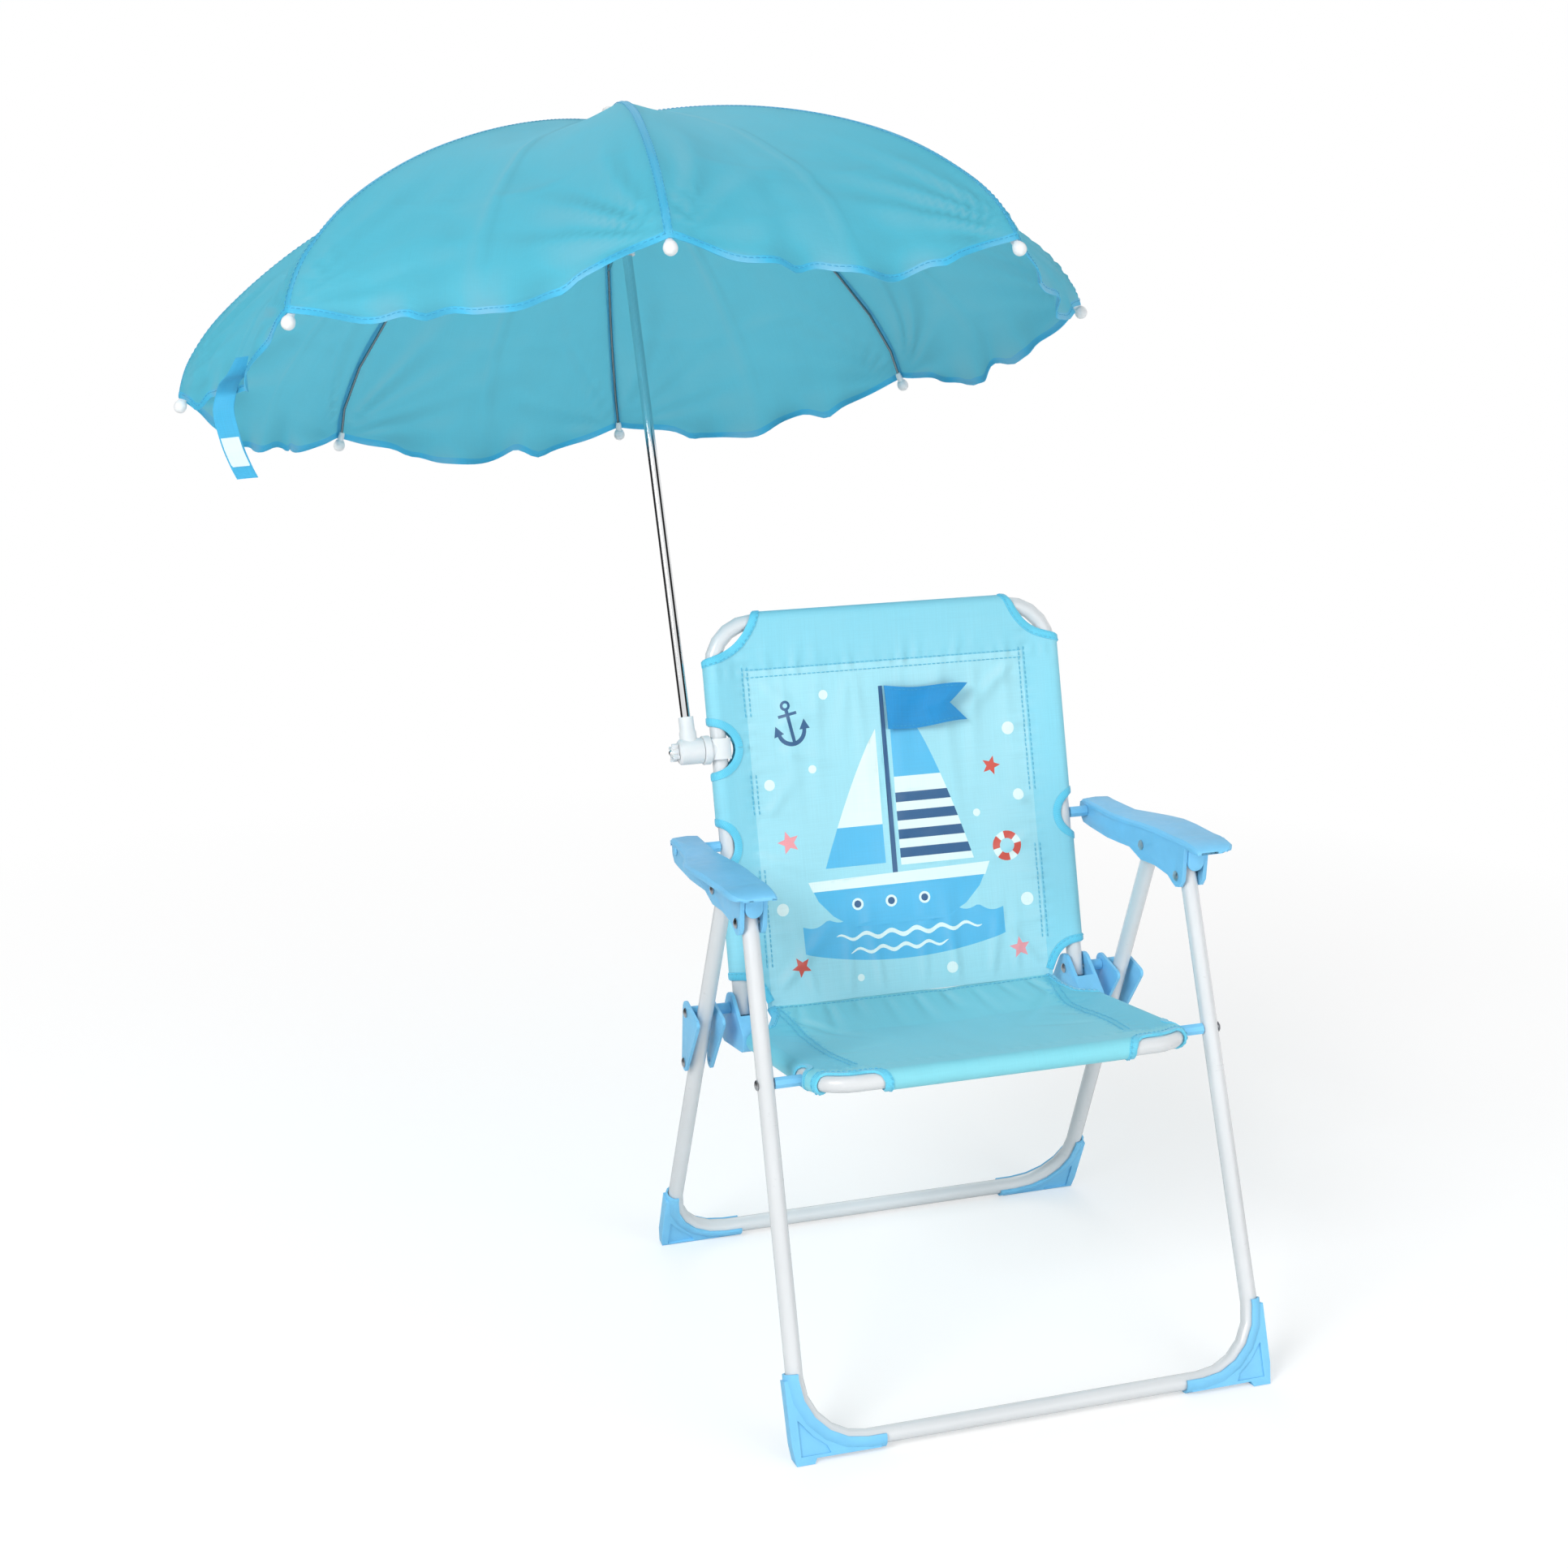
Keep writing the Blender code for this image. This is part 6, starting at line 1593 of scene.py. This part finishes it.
def arm_tongues():
    """Rounded tongues under the armrests that close the channel's front over the tops of the legs."""
    rear = HINGE + BACK_UP * ARM_REAR_RISE
    line = (ARM_FRONT - rear).normalized()
    up = Vector((line[1], -line[0]))
    wide, low, top = 0.0068, 0.0070, 0.0272
    for side, end in ((-1, "left"), (1, "right")):
        mesh = bmesh.new()
        rings = []
        for ahead, inset in ((0.0106, 0.0), (0.0121, 0.0), (0.0125, 0.0002), (0.0127, 0.0008)):
            size = wide - inset
            loop = [(size * math.cos(math.pi * k / 16), low + wide - size * math.sin(math.pi * k / 16))
                    for k in range(17)]
            loop += [(-size, top), (size, top)]
            rings.append([side_point(side * LEG_TOP_X + x, ARM_FRONT + line * ahead + up * height)
                          for x, height in loop])
        ring_skin(mesh, rings)
        bmesh.ops.recalc_face_normals(mesh, faces=mesh.faces)
        tongue = finished("armrest_tongue_" + end, mesh, [BLUE])
        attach(tongue, "arm_" + end)


back_cloth()
seat_cloth()
pennant()
arm_tongues()
canopy()
strap()


# Floor, light and camera
STRIPS = ((-0.637, 0.84, 0.90), (2.522, 0.72, 0.80))
LAMPS = (("key", (-2.1, -1.9, 2.1), 62.0, 1.5), ("fill", (1.3, -2.4, 0.6), 26.0, 1.8),
         ("back", (0.4, 2.4, 2.2), 11.0, 1.6))
LAMP_AIM = Vector((0.0, 0.0, 0.45))
WORLD_LIGHT = 0.56
FLOOR_HALF = 14.0
FLOOR_LEVEL = -0.0004
FRAME_PIXELS = 1932
FOCAL_PIXELS = 3010.8
SENSOR = 36.0
CAMERA_PLACE = Vector((-0.6738, -1.6960, 0.9546))
PITCH, YAW, ROLL = math.radians(15.56), math.radians(17.55), math.radians(-0.36)


def dark_strips(nodes, x, y):
    """What bright metal sees: a white room with two dark strips, by their heading."""
    heading = nodes.math("ARCTAN2", y, x)
    strips = []
    for middle, low, high in STRIPS:
        near = nodes.math("COSINE", nodes.math("SUBTRACT", heading, middle))
        strips.append(nodes.ramp(near, low, high, 1.0, 0.02))
    return nodes.math("MULTIPLY", *strips)


def floor():
    """A pale floor that keeps the shadow near the chair and turns white further out."""
    mesh = bpy.data.meshes.new("floor")
    corners = [(x * FLOOR_HALF, y * FLOOR_HALF, FLOOR_LEVEL) for x, y in ((-1, -1), (1, -1), (1, 1), (-1, 1))]
    mesh.from_pydata(corners, [], [(0, 1, 2, 3)])
    sheet = linked("floor", mesh)
    mat, nodes, shader = new_material("pale_floor", (0.80, 0.80, 0.80), 0.9)
    paper = nodes.ramp(nodes.noise(nodes.place(), 3.0, 4.0), 0.3, 0.7)
    nodes.feed(shader, {
        "Specular IOR Level": 0.1,
        "Base Color": nodes.mix(paper, (0.79, 0.79, 0.79), (0.81, 0.81, 0.81)),
    })
    x, y, _ = nodes.split(nodes.place())
    far = nodes.math("SQRT", nodes.math("ADD", nodes.math("POWER", x, 2.0), nodes.math("POWER", y, 2.0)))
    rays = nodes.add("LightPath").outputs
    matt = nodes.add("BsdfDiffuse", {"Color": (0.60, 0.60, 0.60)}).outputs[0]
    lifted = nodes.add("Emission", {"Strength": 0.45}).outputs[0]
    both = nodes.add("AddShader", {0: matt, 1: lifted}).outputs[0]
    white = nodes.add("Emission").outputs[0]
    near = nodes.mix_shader(nodes.ramp(far, 0.55, 1.5), both, white)
    shiny = nodes.add("Emission", {"Strength": dark_strips(nodes, x, y)}).outputs[0]
    share = nodes.math("MULTIPLY", rays["Is Glossy Ray"], nodes.ramp(far, 0.6, 1.2))
    seen = nodes.mix_shader(share, shader.outputs[0], shiny)
    nodes.show(nodes.mix_shader(rays["Is Camera Ray"], seen, near))
    mesh.materials.append(mat)


def room():
    """White for the camera, softer light for the cloth, and the dark strips for bright metal."""
    world = bpy.data.worlds.new("studio")
    world.use_nodes = True
    bpy.context.scene.world = world
    nodes = Nodes(world.node_tree)
    white = (1.0, 1.0, 1.0)
    light = nodes.feed(world.node_tree.nodes["Background"], {0: white, 1: WORLD_LIGHT}).outputs[0]
    seen = nodes.add("Background", {0: white, 1: 1.0}).outputs[0]
    x, y, z = nodes.split(nodes.add("TexCoord").outputs["Generated"])
    level = nodes.math("MULTIPLY", dark_strips(nodes, x, y), nodes.ramp(z, -0.3, 0.5, 0.85, 1.1))
    shiny = nodes.add("Background", {0: white, 1: level}).outputs[0]
    rays = nodes.add("LightPath").outputs
    either = nodes.math("MAXIMUM", rays["Is Camera Ray"], rays["Is Transmission Ray"])
    glossy = nodes.mix_shader(rays["Is Glossy Ray"], light, shiny)
    nodes.show(nodes.mix_shader(either, glossy, seen), "World Output")


def lamps():
    for name, place, power, wide in LAMPS:
        lamp = bpy.data.lights.new(name, "AREA")
        lamp.energy = power
        lamp.shape = "DISK"
        lamp.size = wide
        thing = linked(name, lamp)
        thing.location = place
        thing.visible_glossy = name != "fill"
        thing.rotation_euler = (LAMP_AIM - thing.location).to_track_quat("-Z", "Y").to_euler()


def camera():
    ahead = Vector((math.sin(YAW) * math.cos(PITCH), math.cos(YAW) * math.cos(PITCH), -math.sin(PITCH)))
    level = Vector((math.cos(YAW), -math.sin(YAW), 0.0))
    above = level.cross(ahead)
    right = level * math.cos(ROLL) + above * math.sin(ROLL)
    up = above * math.cos(ROLL) - level * math.sin(ROLL)
    data = bpy.data.cameras.new("camera")
    data.sensor_width = SENSOR
    data.lens = FOCAL_PIXELS / FRAME_PIXELS * SENSOR
    view = linked("camera", data)
    turn = Matrix((right, up, -ahead)).transposed()
    view.matrix_world = Matrix.Translation(CAMERA_PLACE + SHIFT) @ turn.to_4x4()
    bpy.context.scene.camera = view


floor()
room()
lamps()
camera()
bpy.context.scene.view_settings.view_transform = "Standard"
